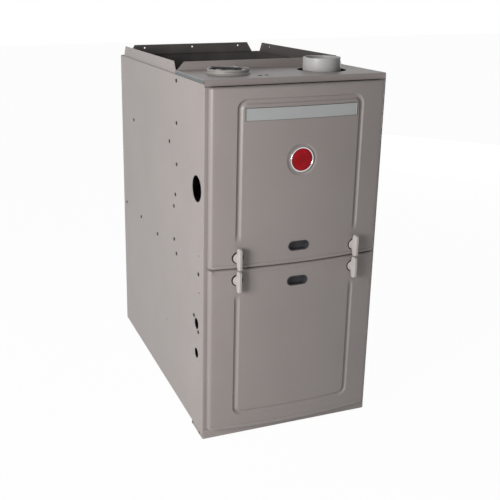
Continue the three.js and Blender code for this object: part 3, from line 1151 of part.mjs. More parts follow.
// ---------------------------------------------------------------- pressure switch and condensate parts
const PRESSURE = { x: -152, z: 640 };
function pressureSwitch() {
  const back = VESTIBULE_Y - SHEET / 2 - SEAT;
  const can = turned([
    [0, back - 34], [24, back - 34], [26, back - 22], [30, back - 20], [30, back - 14], [26, back - 14],
    [26, back - 6], [0, back - 6],
  ], 'y', [PRESSURE.x, PRESSURE.z], 12);
  const bracket = block(PRESSURE.x - 14, PRESSURE.x + 14, back - 7, back, PRESSURE.z - 36, PRESSURE.z + 36);
  const nipple = rod('y', 3, back - 46, back - 33, [PRESSURE.x, PRESSURE.z], 8);
  return join(can, bracket, nipple);
}

// The trap is a closed body with a lid, so it is solid inside.
const TRAP = { left: -192, right: -140, front: 112, back: 176, bottom: 458, top: 560, lid: 4, rim: 2 };
function condensateTrap() {
  const { left, right, front, back, bottom, top, lid, rim } = TRAP;
  const body = block(left + rim, right - rim, front + rim, back - rim, bottom, top - 1);
  const cover = block(left, right, front, back, top - lid, top);
  const middle = (front + back) / 2;
  const spigot = rod('x', 7, right - rim - 2, right + 14, [middle, top - 26], 12);
  const drain = rod('z', 9, bottom - DRAIN_DROP, bottom + 2, [(left + right) / 2, middle], 12);
  const tab = block(left + 6, right - 6, back - rim - 1, BOX_BACK, top - 20, top - 16);
  return join(body, cover, spigot, drain, tab);
}
const DRAIN_DROP = 12;

// ---------------------------------------------------------------- the assembly
piece('left_side_panel', sidePanel(-1), 'paint');
piece('right_side_panel', sidePanel(1), 'paint');
piece('back_panel', backPanel(), 'paint');
piece('top_cap', topCap(), 'paint');
piece('base_pan', basePan(), 'galvanised');
piece('front_base_rail', frontBaseRail(), 'paint');
piece('centre_rail', centreRail(), 'paint');
piece('blower_deck', blowerDeck(), 'galvanised');
piece('vestibule_panel', vestibulePanel(), 'galvanised');

piece('upper_door', upperDoor(), 'paint');
piece('lower_door', lowerDoor(), 'paint');
piece('name_strip', nameStrip(), 'silverStrip');
piece('badge_ring', badgeRing(), 'chrome');
piece('badge_disc', badgeDisc(), 'redEnamel');
piece('upper_finger_cup', fingerCup(SEAM_HEIGHT + CUP_OFFSET), 'blackPlastic');
piece('lower_finger_cup', fingerCup(SEAM_HEIGHT - CUP_OFFSET), 'blackPlastic');
for (const [height, up] of [['upper', 1], ['lower', -1]]) {
  for (const [hand, side] of [['left', -1], ['right', 1]]) {
    piece(`${height}_${hand}_knob`, knob(side), 'knobPlastic',
      [side * GROOVE_HALF_WIDTH, bowY(GROOVE_HALF_WIDTH), SEAM_HEIGHT + up * KNOB_OFFSET]);
  }
}

piece('intake_collar', intakeCollar(), 'castAlloy');
piece('intake_seal', intakeSeal(), 'rubber');
piece('intake_pipe', intakePipe(), 'whitePlastic');
piece('vent_stub', ventStub(), 'whitePlastic');
piece('vent_pipe', ventPipe(), 'whitePlastic');
piece('vent_boot', ventBoot(), 'rubber');

piece('blower_housing', blowerHousing(), 'galvanised');
piece('left_blower_rail', blowerRail(-1), 'galvanised');
piece('right_blower_rail', blowerRail(1), 'galvanised');
piece('blower_wheel', blowerWheel(), 'galvanised', [0, BLOWER_Y, BLOWER_Z]);
piece('blower_motor', blowerMotor(), 'darkSteel');
piece('motor_mount', motorMount(), 'galvanised');

piece('control_panel', controlPanel(), 'galvanised');
piece('control_board', controlBoard(), 'circuitBoard');
piece('transformer', transformer(), 'darkSteel');
piece('junction_box', junctionBox(), 'galvanised');
piece('door_switch', doorSwitch(), 'blackPlastic');
piece('door_switch_plunger', doorSwitchPlunger(), 'whitePlastic', [SWITCH.x, 0, SWITCH.z]);

piece('burner_box', burnerBox(), 'aluminised');
BURNER_XS.forEach((x, i) => piece(`burner_${i + 1}`, burner(), 'aluminised', [x, BURNER_FRONT, BURNER_Z]));
piece('gas_manifold', gasManifold(), 'darkSteel');
piece('gas_valve', gasValve(), 'castAlloy');
piece('gas_valve_knob', gasValveKnob(), 'redPlastic', [VALVE.x + 18, 18 - SEAT, VALVE.bottom + 30]);
piece('igniter', igniter(), 'ceramic');
piece('flame_sensor', flameSensor(), 'ceramic');
piece('rollout_switch', rolloutSwitch(), 'blackPlastic', [0, 0, BOX_TOP + SEAT]);
piece('rollout_reset_button', rolloutResetButton(), 'redPlastic', [ROLLOUT.x, ROLLOUT.y, BOX_TOP + SEAT + 6.3]);
BURNER_XS.forEach((x, i) => piece(`heat_tube_${i + 1}`, heatTube(x), 'aluminised'));
piece('secondary_coil', secondaryCoil(), 'aluminised');
piece('collector_box', collectorBox(), 'blackPlastic');

piece('inducer_housing', inducerHousing(), 'blackPlastic');
piece('inducer_wheel', inducerWheel(), 'aluminised', [INDUCER_X, inducerBack - INDUCER_WHEEL_SETBACK, INDUCER_Z]);
piece('inducer_motor', inducerMotor(), 'darkSteel');
piece('pressure_switch', pressureSwitch(), 'blackPlastic');
piece('condensate_trap', condensateTrap(), 'whitePlastic');

// The origin goes on the floor below the middle of the bounding box.
const bounds = new THREE.Box3().setFromObject(furnace);
const middle = bounds.getCenter(at(0, 0, 0));
furnace.position.set(-middle.x, -middle.y, -bounds.min.z);
furnace.updateMatrixWorld(true);

export default furnace;
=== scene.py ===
# The looks of an upflow gas furnace: satin painted casing and doors, quarter-turn knobs, pipe fittings in the
# top, and the burners, heat exchanger, inducer and blower behind the doors.
import json
import math

import bmesh
import bpy
from mathutils import Matrix, Vector

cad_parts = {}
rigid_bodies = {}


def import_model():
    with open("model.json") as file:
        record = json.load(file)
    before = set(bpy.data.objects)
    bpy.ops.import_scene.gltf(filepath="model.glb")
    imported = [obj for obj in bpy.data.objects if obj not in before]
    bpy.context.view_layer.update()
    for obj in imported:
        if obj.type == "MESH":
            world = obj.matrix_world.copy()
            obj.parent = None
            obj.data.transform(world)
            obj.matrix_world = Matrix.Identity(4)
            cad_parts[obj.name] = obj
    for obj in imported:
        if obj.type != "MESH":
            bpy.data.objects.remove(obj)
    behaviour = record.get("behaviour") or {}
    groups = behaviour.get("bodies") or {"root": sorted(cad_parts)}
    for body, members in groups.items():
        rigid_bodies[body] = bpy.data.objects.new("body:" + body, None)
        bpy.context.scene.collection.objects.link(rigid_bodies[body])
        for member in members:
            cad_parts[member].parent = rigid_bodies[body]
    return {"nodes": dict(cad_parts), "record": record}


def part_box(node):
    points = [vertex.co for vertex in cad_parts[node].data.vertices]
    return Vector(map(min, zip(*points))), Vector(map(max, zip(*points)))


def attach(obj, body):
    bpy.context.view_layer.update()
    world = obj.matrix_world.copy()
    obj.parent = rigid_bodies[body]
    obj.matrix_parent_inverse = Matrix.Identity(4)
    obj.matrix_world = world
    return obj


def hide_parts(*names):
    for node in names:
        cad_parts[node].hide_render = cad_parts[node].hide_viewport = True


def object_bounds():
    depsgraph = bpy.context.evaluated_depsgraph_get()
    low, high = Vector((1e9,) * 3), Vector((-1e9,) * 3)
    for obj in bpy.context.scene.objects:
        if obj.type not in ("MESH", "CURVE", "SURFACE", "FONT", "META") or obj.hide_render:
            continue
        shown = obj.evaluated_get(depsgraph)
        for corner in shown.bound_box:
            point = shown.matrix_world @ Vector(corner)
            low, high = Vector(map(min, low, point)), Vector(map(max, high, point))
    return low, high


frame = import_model()
cad_low, cad_high = [list(corner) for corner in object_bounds()]

MM = 0.001
NODES = frame["nodes"]
BODY_OF = {node: body for body, nodes in frame["record"]["behaviour"]["bodies"].items() for node in nodes}
SLOT_OF = {part["node"]: part["material_slot"] for part in frame["record"]["subparts"]}

# ---------------------------------------------------------------- sizes in millimetres
# x is measured from the centre plane, y from the casing's front face and z from the floor.
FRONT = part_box("left_side_panel")[0].y


def node_box(node):
    """The node's box as ((x0, x1), (y0, y1), (z0, z1)) in millimetres."""
    low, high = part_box(node)
    return (
        (low.x / MM, high.x / MM),
        ((low.y - FRONT) / MM, (high.y - FRONT) / MM),
        (low.z / MM, high.z / MM),
    )


def across(axis, node):
    """The middle of a node's box in the two directions across an axis."""
    middle = [(low + high) / 2 for low, high in node_box(node)]
    middle.pop("xyz".index(axis))
    return tuple(middle)


SIDES = ((-1, "left"), (1, "right"))
OUTWARD = {-1: "-x", 1: "x"}
SHEET = 1.2
BEND = 2.5
SEAT = 0.3  # gap between pieces that seat on each other

SIDE_X, SIDE_Y, SIDE_Z = node_box("left_side_panel")
HALF_WIDTH = -SIDE_X[0]
INNER_HALF = HALF_WIDTH - SHEET - SEAT
DEPTH = SIDE_Y[1]
SIDE_FOOT, DUCT_TOP = SIDE_Z
SIDE_TOP = 854.6
CAP_TOP = 863.6
CAP_BOTTOM = 848.6
CAP_DEPTH = 200
SKIRT_DROP = 26
FRONT_RETURN, BACK_RETURN, RETURN_LIP = 22, 16, 12
FLANGE_INSET = 5
FLANGE_SLANT = 18
FLANGE_LAP = 14
FLANGE_HOLE, FLANGE_HOLE_DROP = 2.4, 9

UPPER_X, _, UPPER_Z = node_box("upper_door")
LOWER_Z = node_box("lower_door")[2]
SEAM = (UPPER_Z[0] + LOWER_Z[1]) / 2
DOOR_HALF = UPPER_X[1]
DOOR_BACK = -0.5
DOOR_EDGE = 14
DOOR_BOW = 16
DOOR_CORNER = 9
DOOR_RIM = 5
BOW_RADIUS = (DOOR_HALF**2 + DOOR_BOW**2) / (2 * DOOR_BOW)
BOW_CENTRE = BOW_RADIUS - DOOR_EDGE - DOOR_BOW

GROOVE_HALF = 147.5
GROOVE_REACH = 6.2  # half the channel's width
GROOVE_DEPTH = 4
GROOVE_CORNER = 17
BADGE_Z = UPPER_Z[1] - 165
BADGE_RADIUS = 28.5
BADGE_DISC = 25
BADGE_DISH = 2.2
BADGE_TROUGH = 0.9
STRIP_HALF, STRIP_RISE = 136, 28.5 / 2
STRIP_MIDDLE = UPPER_Z[1] - 58.5
STRIP_BORDER = 1.1
HEM_WIDTH = 9
HEM_FLARE = 1.7
CREASE_DEPTH = 0.9
CUP_OFFSET = 43
CUP_WIDTH = 51
CUP_HEIGHT = 22
CUP_DEPTH = 13
CUP_WALL = 1.6
CUP_LIP = 0.7
KNOB_OFFSET = 27
KNOB_HOLE = 14

INTAKE = (-128, 100)
VENT = (112, 106)
PLUG_HOLES = [(-75, 42), (-59, 42)]


# ---------------------------------------------------------------- shapes as (points, faces)
def at(x, y, z):
    """A point in millimetres as a place in metres in the frame."""
    return (x * MM, FRONT + y * MM, z * MM)


def placed(axis, a, b, along):
    """A point drawn across an axis: (a, b) are its two other coordinates in x, y, z order."""
    return {"x": (along, a, b), "y": (a, along, b), "z": (a, b, along)}[axis]


def grid(wide, tall):
    """The faces of a sheet of points that run across, row by row."""
    corners = [r * wide + c for r in range(tall - 1) for c in range(wide - 1)]
    return [[i, i + 1, i + wide + 1, i + wide] for i in corners]


def drawn_out(outline, axis, start, end):
    """An outline of (a, b) points, drawn out along the axis."""
    count = len(outline)
    points = [placed(axis, a, b, along) for along in (start, end) for a, b in outline]
    faces = [list(range(count))[::-1], list(range(count, 2 * count))]
    faces += [[i, (i + 1) % count, count + (i + 1) % count, count + i] for i in range(count)]
    return points, faces


def turned(profile, axis, centre, steps=64):
    """A profile of (radius, along) points turned about the axis. It closes on itself unless it meets the axis."""
    points, faces, rings = [], [], []
    for radius, along in profile:
        count = steps if radius else 1
        rings.append(list(range(len(points), len(points) + count)))
        for a, b in spaced_round(centre, radius, count):
            points.append(placed(axis, a, b, along))
    pairs = list(zip(rings, rings[1:]))
    if profile[0][0] and profile[-1][0]:
        pairs.append((rings[-1], rings[0]))
    for a, b in pairs:
        for i in range(steps):
            j = (i + 1) % steps
            corners = [a[i % len(a)], a[j % len(a)], b[j % len(b)], b[i % len(b)]]
            faces.append(list(dict.fromkeys(corners)))
    return points, faces


def rod(axis, radius, start, end, centre, steps=32):
    return turned([(0, start), (radius, start), (radius, end), (0, end)], axis, centre, steps)


def block(x, y, z):
    return drawn_out([(x[0], y[0]), (x[1], y[0]), (x[1], y[1]), (x[0], y[1])], "z", z[0], z[1])


def rounded(corners, radius, steps=5):
    """An open path of corners with each inner corner bent to a radius."""
    path = [Vector(corners[0])]
    for before, here, after in zip(corners, corners[1:], corners[2:]):
        here = Vector(here)
        back, ahead = (Vector(before) - here).normalized(), (Vector(after) - here).normalized()
        turn = math.pi - back.angle(ahead)
        reach = radius * math.tan(turn / 2)
        start, end = here + back * reach, here + ahead * reach
        for i in range(steps + 1):
            t = i / steps
            path.append(start * (1 - t) ** 2 + here * 2 * t * (1 - t) + end * t**2)
    path.append(Vector(corners[-1]))
    return path


def folded(corners, radius=BEND):
    """The outline of a folded sheet whose middle follows the corners."""
    path = rounded(corners, radius)
    sides = ([], [])
    for i, here in enumerate(path):
        into = (here - path[max(i - 1, 0)]).normalized()
        out = (path[min(i + 1, len(path) - 1)] - here).normalized()
        along = (into + out).normalized()
        mitre = 1 if i in (0, len(path) - 1) else max(along.dot(out), 0.3)
        across_path = Vector((-along.y, along.x)) * SHEET / 2 / mitre
        sides[0].append(here + across_path)
        sides[1].append(here - across_path)
    return [tuple(p) for p in sides[0] + sides[1][::-1]]


def obround(width, height, z, steps=16):
    """A slot with round ends in the (x, z) plane."""
    radius = height / 2
    reach = width / 2 - radius
    ends = []
    for side in (1, -1):
        for i in range(steps + 1):
            angle = -math.pi / 2 + math.pi * i / steps + (0 if side > 0 else math.pi)
            ends.append((side * reach + radius * math.cos(angle), z + radius * math.sin(angle)))
    return ends


def tube(path, radius, steps):
    """A round bar along a path of points in one plane of constant x, with capped ends."""
    points, aside = [], Vector((1, 0, 0))
    path = [Vector(p) for p in path]
    for i, here in enumerate(path):
        along = (path[min(i + 1, len(path) - 1)] - path[max(i - 1, 0)]).normalized()
        u = (aside - along * along.dot(aside)).normalized()
        v = along.cross(u)
        points += [tuple(here + u * a + v * b) for a, b in spaced_round((0, 0), radius, steps)]
    faces = []
    for i in range(len(path) - 1):
        for k in range(steps):
            a, b = i * steps + k, i * steps + (k + 1) % steps
            faces.append([a, b, b + steps, a + steps])
    last = (len(path) - 1) * steps
    return points, faces + [list(range(steps))[::-1], list(range(last, last + steps))]


def together(shapes):
    points, faces = [], []
    for more_points, more_faces in shapes:
        faces += [[i + len(points) for i in face] for face in more_faces]
        points += more_points
    return points, faces


def spaced_round(centre, radius, count, first=0):
    """Places evenly round a centre, the first one at an angle in degrees."""
    angles = [math.radians(first) + 2 * math.pi * i / count for i in range(count)]
    return [(centre[0] + radius * math.cos(a), centre[1] + radius * math.sin(a)) for a in angles]


def arc_profile(centre, radius, start, end, steps=6):
    angles = [math.radians(start + (end - start) * i / steps) for i in range(steps + 1)]
    return [(centre[0] + radius * math.cos(a), centre[1] + radius * math.sin(a)) for a in angles]


def curve(*marks, steps=8):
    """Points on joined curves that start and end at every second mark and bend towards the ones between."""
    points = [marks[0]]
    for a, b, c in zip(marks[::2], marks[1::2], marks[2::2]):
        for t in [(i + 1) / steps for i in range(steps)]:
            points.append(tuple(p * (1 - t) ** 2 + q * 2 * t * (1 - t) + r * t**2 for p, q, r in zip(a, b, c)))
    return points


# ---------------------------------------------------------------- turning shapes into pieces
REPLACED = set()


def new_object(name, mesh):
    obj = bpy.data.objects.new(name, mesh)
    bpy.context.scene.collection.objects.link(obj)
    return obj


def raw_object(shape, name="shape"):
    """A bare object from a shape, with its faces pointing out."""
    mesh = bpy.data.meshes.new(name)
    mesh.from_pydata([at(*p) for p in shape[0]], [], shape[1])
    work = bmesh.new()
    work.from_mesh(mesh)
    bmesh.ops.recalc_face_normals(work, faces=work.faces)
    work.to_mesh(mesh)
    work.free()
    return new_object(name, mesh)


def settled(obj):
    """Applies the object's modifiers to its mesh."""
    graph = bpy.context.evaluated_depsgraph_get()
    mesh = bpy.data.meshes.new_from_object(obj.evaluated_get(graph))
    obj.modifiers.clear()
    obj.data = mesh
    return obj


def booleaned(obj, shapes, operation):
    """Cuts shapes out of an object or joins them to it."""
    if not shapes:
        return obj
    tools = bpy.data.collections.new("tools")
    bpy.context.scene.collection.children.link(tools)
    for shape in shapes:
        tool = raw_object(shape, "tool")
        bpy.context.scene.collection.objects.unlink(tool)
        tools.objects.link(tool)
    step = obj.modifiers.new("step", "BOOLEAN")
    step.operation, step.solver = operation, "EXACT"
    step.operand_type, step.collection = "COLLECTION", tools
    settled(obj)
    for tool in list(tools.objects):
        bpy.data.objects.remove(tool)
    bpy.data.collections.remove(tools)
    return obj


def cut(obj, *shapes):
    return booleaned(obj, shapes, "DIFFERENCE")


def joined(obj, *shapes):
    return booleaned(obj, shapes, "UNION")


def bevelled(obj, width, steps=2, angle=40):
    edge = obj.modifiers.new("edges", "BEVEL")
    edge.width, edge.segments = width * MM, steps
    edge.limit_method, edge.angle_limit = "ANGLE", math.radians(angle)
    edge.use_clamp_overlap = True
    return settled(obj)


def merged(*objs):
    """Several objects' shells in one mesh."""
    work = bmesh.new()
    for obj in objs:
        work.from_mesh(obj.data)
    mesh = bpy.data.meshes.new("merged")
    work.to_mesh(mesh)
    work.free()
    for obj in objs[1:]:
        bpy.data.objects.remove(obj)
    objs[0].data = mesh
    return objs[0]


def piece(name, obj, finish, body="root", slot="painted_steel", stands_for=(), angle=35, lining=None):
    """Names and finishes an object, and seats it on its body. Edges over the angle stay sharp. A lining is a
    second finish and a test of the faces' normals and middles, in millimetres, that picks where it goes."""
    obj.name = name
    obj.data.materials.clear()
    obj.data.materials.append(finish)
    if lining:
        inner, picks = lining
        obj.data.materials.append(inner)
        for face in obj.data.polygons:
            x, y, z = face.center
            face.material_index = int(picks(face.normal, (x / MM, (y - FRONT) / MM, z / MM)))
    obj.data.shade_smooth()
    obj.data.set_sharp_from_angle(angle=math.radians(angle))
    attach(obj, body)
    if stands_for:
        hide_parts(*stands_for)
        REPLACED.update(stands_for)
    return obj


def stand_in(name, node, obj, finish, **more):
    """A piece that stands for a CAD node, on the node's body."""
    return piece(name, obj, finish, BODY_OF[node], SLOT_OF[node], [node], **more)


def spun(name, node, profile, axis, centre, finish, base=0, steps=72, extra=(), **more):
    """A stand-in turned about an axis from a profile that starts at the base, with other shapes joined to it."""
    shape = turned([(radius, base + along) for radius, along in profile], axis, centre, steps)
    return stand_in(name, node, joined(raw_object(shape), *extra), finish, **more)


# ---------------------------------------------------------------- copies made by geometry nodes
def new_node(tree, kind, sockets=(), **settings):
    """Adds a node, makes its settings, and links or sets its sockets."""
    node = tree.nodes.new(kind)
    for name, value in settings.items():
        setattr(node, name, value)
    for socket, value in dict(sockets).items():
        if isinstance(value, bpy.types.NodeSocket):
            tree.links.new(value, node.inputs[socket])
        else:
            node.inputs[socket].default_value = value
    return node


class Tree:
    """A geometry nodes tree that copies a shape, with named inputs for its sizes and its finish."""

    def __init__(self, name, **inputs):
        self.tree = bpy.data.node_groups.new(name, "GeometryNodeTree")
        for label, kind in {"Geometry": "Geometry", **inputs, "Finish": "Material"}.items():
            self.tree.interface.new_socket(label, in_out="INPUT", socket_type=f"NodeSocket{kind}")
        self.tree.interface.new_socket("Geometry", in_out="OUTPUT", socket_type="NodeSocketGeometry")
        self.given = self.tree.nodes.new("NodeGroupInput").outputs

    def node(self, kind, sockets=(), **settings):
        return new_node(self.tree, kind, sockets, **settings).outputs

    def worked(self, operation, a, b):
        return self.node("ShaderNodeMath", {0: a, 1: b}, operation=operation)[0]

    def copied(self, shape, points, turn=None):
        """The finished tree: a copy of the shape at each point, made real and given its finish."""
        turns = {} if turn is None else {"Rotation": turn}
        copies = self.node("GeometryNodeInstanceOnPoints", {"Points": points, "Instance": shape, **turns})
        real = self.node("GeometryNodeRealizeInstances", {"Geometry": copies["Instances"]})
        painted = self.node("GeometryNodeSetMaterial", {"Geometry": real["Geometry"], "Material": self.given["Finish"]})
        new_node(self.tree, "NodeGroupOutput", {0: painted["Geometry"]})
        return self.tree

    def copied_on_spots(self, shape):
        """The finished tree: copies on the given points, each standing along its point's facing."""
        facing = self.node("GeometryNodeInputNamedAttribute", {"Name": "facing"}, data_type="FLOAT_VECTOR")
        turn = self.node("FunctionNodeAlignRotationToVector", {"Vector": facing["Attribute"]}, axis="Z")
        return self.copied(shape, self.given["Geometry"], turn[0])


def ring_tree():
    """Copies of a shape in a ring about an axis, which is given as a turn for each step."""
    tree = Tree("ring_of_copies", Copies="Int", Centre="Vector", Step="Vector")
    spots = tree.node("GeometryNodeMeshLine", {
        "Count": tree.given["Copies"], "Start Location": tree.given["Centre"], "Offset": (0, 0, 0)})
    turn = tree.node("ShaderNodeVectorMath", {
        0: tree.given["Step"], "Scale": tree.node("GeometryNodeInputIndex")[0]}, operation="SCALE")
    turn = tree.node("FunctionNodeEulerToRotation", {0: turn["Vector"]})
    return tree.copied(tree.given["Geometry"], spots["Mesh"], turn[0])


def row_tree():
    """Copies of a shape in a straight row."""
    tree = Tree("row_of_copies", Copies="Int", Pitch="Vector")
    spots = tree.node("GeometryNodeMeshLine", {"Count": tree.given["Copies"], "Offset": tree.given["Pitch"]})
    return tree.copied(tree.given["Geometry"], spots["Mesh"])


def screw_tree():
    """Hex head screws with a washer, one on each spot."""
    tree = Tree("hex_screws", **dict.fromkeys(["Head Width", "Head Height", "Washer Radius", "Washer Height"], "Float"))

    def cylinder(sides, radius, height):
        shape = tree.node("GeometryNodeMeshCylinder", {"Vertices": sides, "Radius": radius, "Depth": height})
        lift = tree.node("ShaderNodeCombineXYZ", {"Z": tree.worked("MULTIPLY", height, 0.5)})
        return tree.node("GeometryNodeTransform", {"Geometry": shape["Mesh"], "Translation": lift[0]})["Geometry"]

    radius = tree.worked("MULTIPLY", tree.given["Head Width"], 1 / math.sqrt(3))
    screw = new_node(tree.tree, "GeometryNodeJoinGeometry")
    for shape in (cylinder(6, radius, tree.given["Head Height"]),
                  cylinder(20, tree.given["Washer Radius"], tree.given["Washer Height"])):
        tree.tree.links.new(shape, screw.inputs[0])
    return tree.copied_on_spots(screw.outputs[0])


def rivet_tree():
    """Domed rivet heads, one on each spot."""
    tree = Tree("rivet_heads", Radius="Float", Height="Float")
    ball = tree.node("GeometryNodeMeshUVSphere", {"Segments": 20, "Rings": 10, "Radius": tree.given["Radius"]})
    flat = tree.worked("DIVIDE", tree.given["Height"], tree.given["Radius"])
    shape = tree.node("ShaderNodeCombineXYZ", {"X": 1.0, "Y": 1.0, "Z": flat})
    head = tree.node("GeometryNodeTransform", {"Geometry": ball["Mesh"], "Scale": shape[0]})
    return tree.copied_on_spots(head["Geometry"])


RING, ROW, SCREWS, RIVETS = ring_tree(), row_tree(), screw_tree(), rivet_tree()
FACINGS = {"x": (1, 0, 0), "-x": (-1, 0, 0), "y": (0, 1, 0), "-y": (0, -1, 0), "z": (0, 0, 1)}


def grown(obj, tree, **values):
    """Runs a tree on an object and keeps the result as its plain mesh."""
    step = obj.modifiers.new("copies", "NODES")
    step.node_group = tree
    for item in tree.interface.items_tree:
        if item.in_out == "INPUT" and item.name in values:
            step[item.identifier] = values[item.name]
    return settled(obj)


def ringed(shape, axis, centre, copies, finish):
    """A shape drawn about the origin, copied in a ring about an axis through the centre (a, b)."""
    obj = raw_object(shape)
    obj.data.transform(Matrix.Translation((0, -FRONT, 0)))
    turn = placed(axis, 0, 0, 2 * math.pi / copies)
    return grown(obj, RING, Copies=copies, Centre=at(*placed(axis, *centre, 0)), Step=turn, Finish=finish)


def rowed(shape, copies, pitch, finish):
    """A shape copied in a row along x."""
    return grown(raw_object(shape), ROW, Copies=copies, Pitch=(pitch * MM, 0, 0), Finish=finish)


def spots_object(name, spots):
    """Points with a facing, from (x, y, z, facing) spots in millimetres."""
    mesh = bpy.data.meshes.new(name)
    mesh.from_pydata([at(*spot[:3]) for spot in spots], [], [])
    facing = mesh.attributes.new("facing", "FLOAT_VECTOR", "POINT")
    for item, spot in zip(facing.data, spots):
        item.vector = FACINGS[spot[3]]
    return new_object(name, mesh)


def screws(name, spots, finish, head=8, height=3.2, slot="galvanised_steel"):
    values = {"Head Width": head * MM, "Head Height": height * MM,
              "Washer Radius": head * 0.72 * MM, "Washer Height": 0.8 * MM, "Finish": finish}
    return piece(name, grown(spots_object(name, spots), SCREWS, **values), finish, slot=slot)


def rivets(name, spots, finish, radius, height, slot="galvanised_steel"):
    values = {"Radius": radius * MM, "Height": height * MM, "Finish": finish}
    return piece(name, grown(spots_object(name, spots), RIVETS, **values), finish, slot=slot, angle=60)


def on_front(xs, y, zs):
    """Spots on a face that looks forward."""
    return [(x, y, z, "-y") for x in xs for z in zs]


# ---------------------------------------------------------------- materials
def linear(colour):
    """A colour written as 0-255 screen values."""
    values = [c / 255 for c in colour]
    return tuple(c / 12.92 if c <= 0.04045 else ((c + 0.055) / 1.055) ** 2.4 for c in values) + (1,)


class Finish:
    """A principled surface with patterns on Object coordinates."""

    def __init__(self, name, roughness, metallic=0.0, coat=0.0):
        self.material = bpy.data.materials.new(name)
        self.material.use_nodes = True
        self.tree = self.material.node_tree
        self.surface = self.tree.nodes["Principled BSDF"]
        for socket, value in (("Metallic", metallic), ("Roughness", roughness), ("Coat Weight", coat)):
            self.surface.inputs[socket].default_value = value
        self.place = self.node("TexCoord")["Object"]

    def node(self, kind, sockets=(), **settings):
        return new_node(self.tree, f"ShaderNode{kind}", sockets, **settings).outputs

    def noise(self, scale, detail=2.0, stretch=None):
        place = self.node("Mapping", {"Vector": self.place, "Scale": stretch})["Vector"] if stretch else self.place
        return self.node("TexNoise", {"Scale": scale, "Detail": detail, "Vector": place})["Fac"]

    def cells(self, scale, output="Color"):
        return self.node("TexVoronoi", {"Scale": scale, "Vector": self.place})[output]

    def tones(self, value, *stops):
        """Colours along a value, as (place, colour) stops."""
        node = new_node(self.tree, "ShaderNodeValToRGB", {"Fac": value})
        for element, (spot, colour) in zip(node.color_ramp.elements, stops):
            element.position, element.color = spot, colour
        return node.outputs["Color"]

    def blended(self, a, b, factor=0.5, kind="MIX"):
        return self.node("Mix", {"Factor": factor, 6: a, 7: b}, data_type="RGBA", blend_type=kind)[2]

    def colour(self, value):
        self.tree.links.new(value, self.surface.inputs["Base Color"])

    def roughness(self, value, low, high):
        """The roughness, from low where the value is 0.3 to high where it is 0.7."""
        limits = {"From Min": 0.3, "From Max": 0.7, "To Min": low, "To Max": high}
        spread = self.node("MapRange", {"Value": value, **limits})
        self.tree.links.new(spread["Result"], self.surface.inputs["Roughness"])

    def bump(self, value, distance, strength):
        sockets = {"Strength": strength, "Distance": distance * MM, "Height": value}
        self.tree.links.new(self.node("Bump", sockets)["Normal"], self.surface.inputs["Normal"])


def satin_paint(name, base, shade, roughness=0.42):
    """Warm grey powder paint: a faint orange peel, a soft cloudiness and very small light flecks."""
    f = Finish(name, roughness)
    cloud = f.tones(f.noise(7, 3), (0.3, linear(shade)), (0.7, linear(base)))
    fleck = f.tones(f.noise(2600, 1), (0.62, (0.44, 0.44, 0.44, 1)), (0.72, (0.58, 0.58, 0.58, 1)))
    f.colour(f.blended(cloud, fleck, 0.2, "OVERLAY"))
    f.roughness(f.noise(180, 2), roughness - 0.02, roughness + 0.02)
    f.bump(f.noise(420, 2), 0.04, 0.3)
    return f.material


def zinc_sheet(name, base, shade, roughness=0.42):
    """Galvanised sheet with a soft spangle."""
    f = Finish(name, roughness, metallic=0.85)
    base, shade = linear(base), linear(shade)
    spangle = f.tones(f.cells(160), (0.2, shade), (0.8, base))
    f.colour(f.blended(spangle, f.tones(f.noise(12, 3), (0.3, shade), (0.7, base)), 0.5))
    f.roughness(f.noise(150, 3), roughness - 0.1, roughness + 0.12)
    f.bump(f.noise(300, 2), 0.03, 0.3)
    return f.material


def mill_metal(name, base, shade, roughness, stretch, metallic=0.9):
    """Rolled or brushed metal with a grain along one axis."""
    f = Finish(name, roughness, metallic=metallic)
    base, shade = linear(base), linear(shade)
    grain = f.noise(240, 3, stretch)
    f.colour(f.blended(f.tones(grain, (0.25, shade), (0.75, base)), f.tones(f.noise(9, 3), (0.3, shade), (0.7, base))))
    f.roughness(f.noise(90, 3, stretch), roughness - 0.05, roughness + 0.07)
    f.bump(grain, 0.015, 0.2)
    return f.material


def moulded(name, base, shade, roughness, grain=900, depth=0.04, coat=0.0, metallic=0.0):
    """Moulded plastic, rubber or cast metal with a fine grain."""
    f = Finish(name, roughness, metallic, coat)
    f.colour(f.tones(f.noise(18, 3), (0.3, linear(shade)), (0.7, linear(base))))
    f.roughness(f.noise(60, 3), roughness - 0.05, roughness + 0.06)
    f.bump(f.noise(grain, 2), depth, 0.4)
    return f.material


def enamel(name, base, deep, sparkle):
    """Clear-coated enamel with fine metal flecks under the gloss."""
    f = Finish(name, 0.4, coat=0.12)
    f.surface.inputs["Specular IOR Level"].default_value = 0.08
    f.surface.inputs["Coat Roughness"].default_value = 0.12
    cloud = f.tones(f.noise(30, 3), (0.35, linear(deep)), (0.65, linear(base)))
    fleck = f.tones(f.cells(1400, "Distance"), (0.12, linear(sparkle)), (0.3, (0, 0, 0, 1)))
    f.colour(f.blended(cloud, fleck, 0.35, "ADD"))
    f.bump(f.noise(90, 2), 0.02, 0.2)
    return f.material


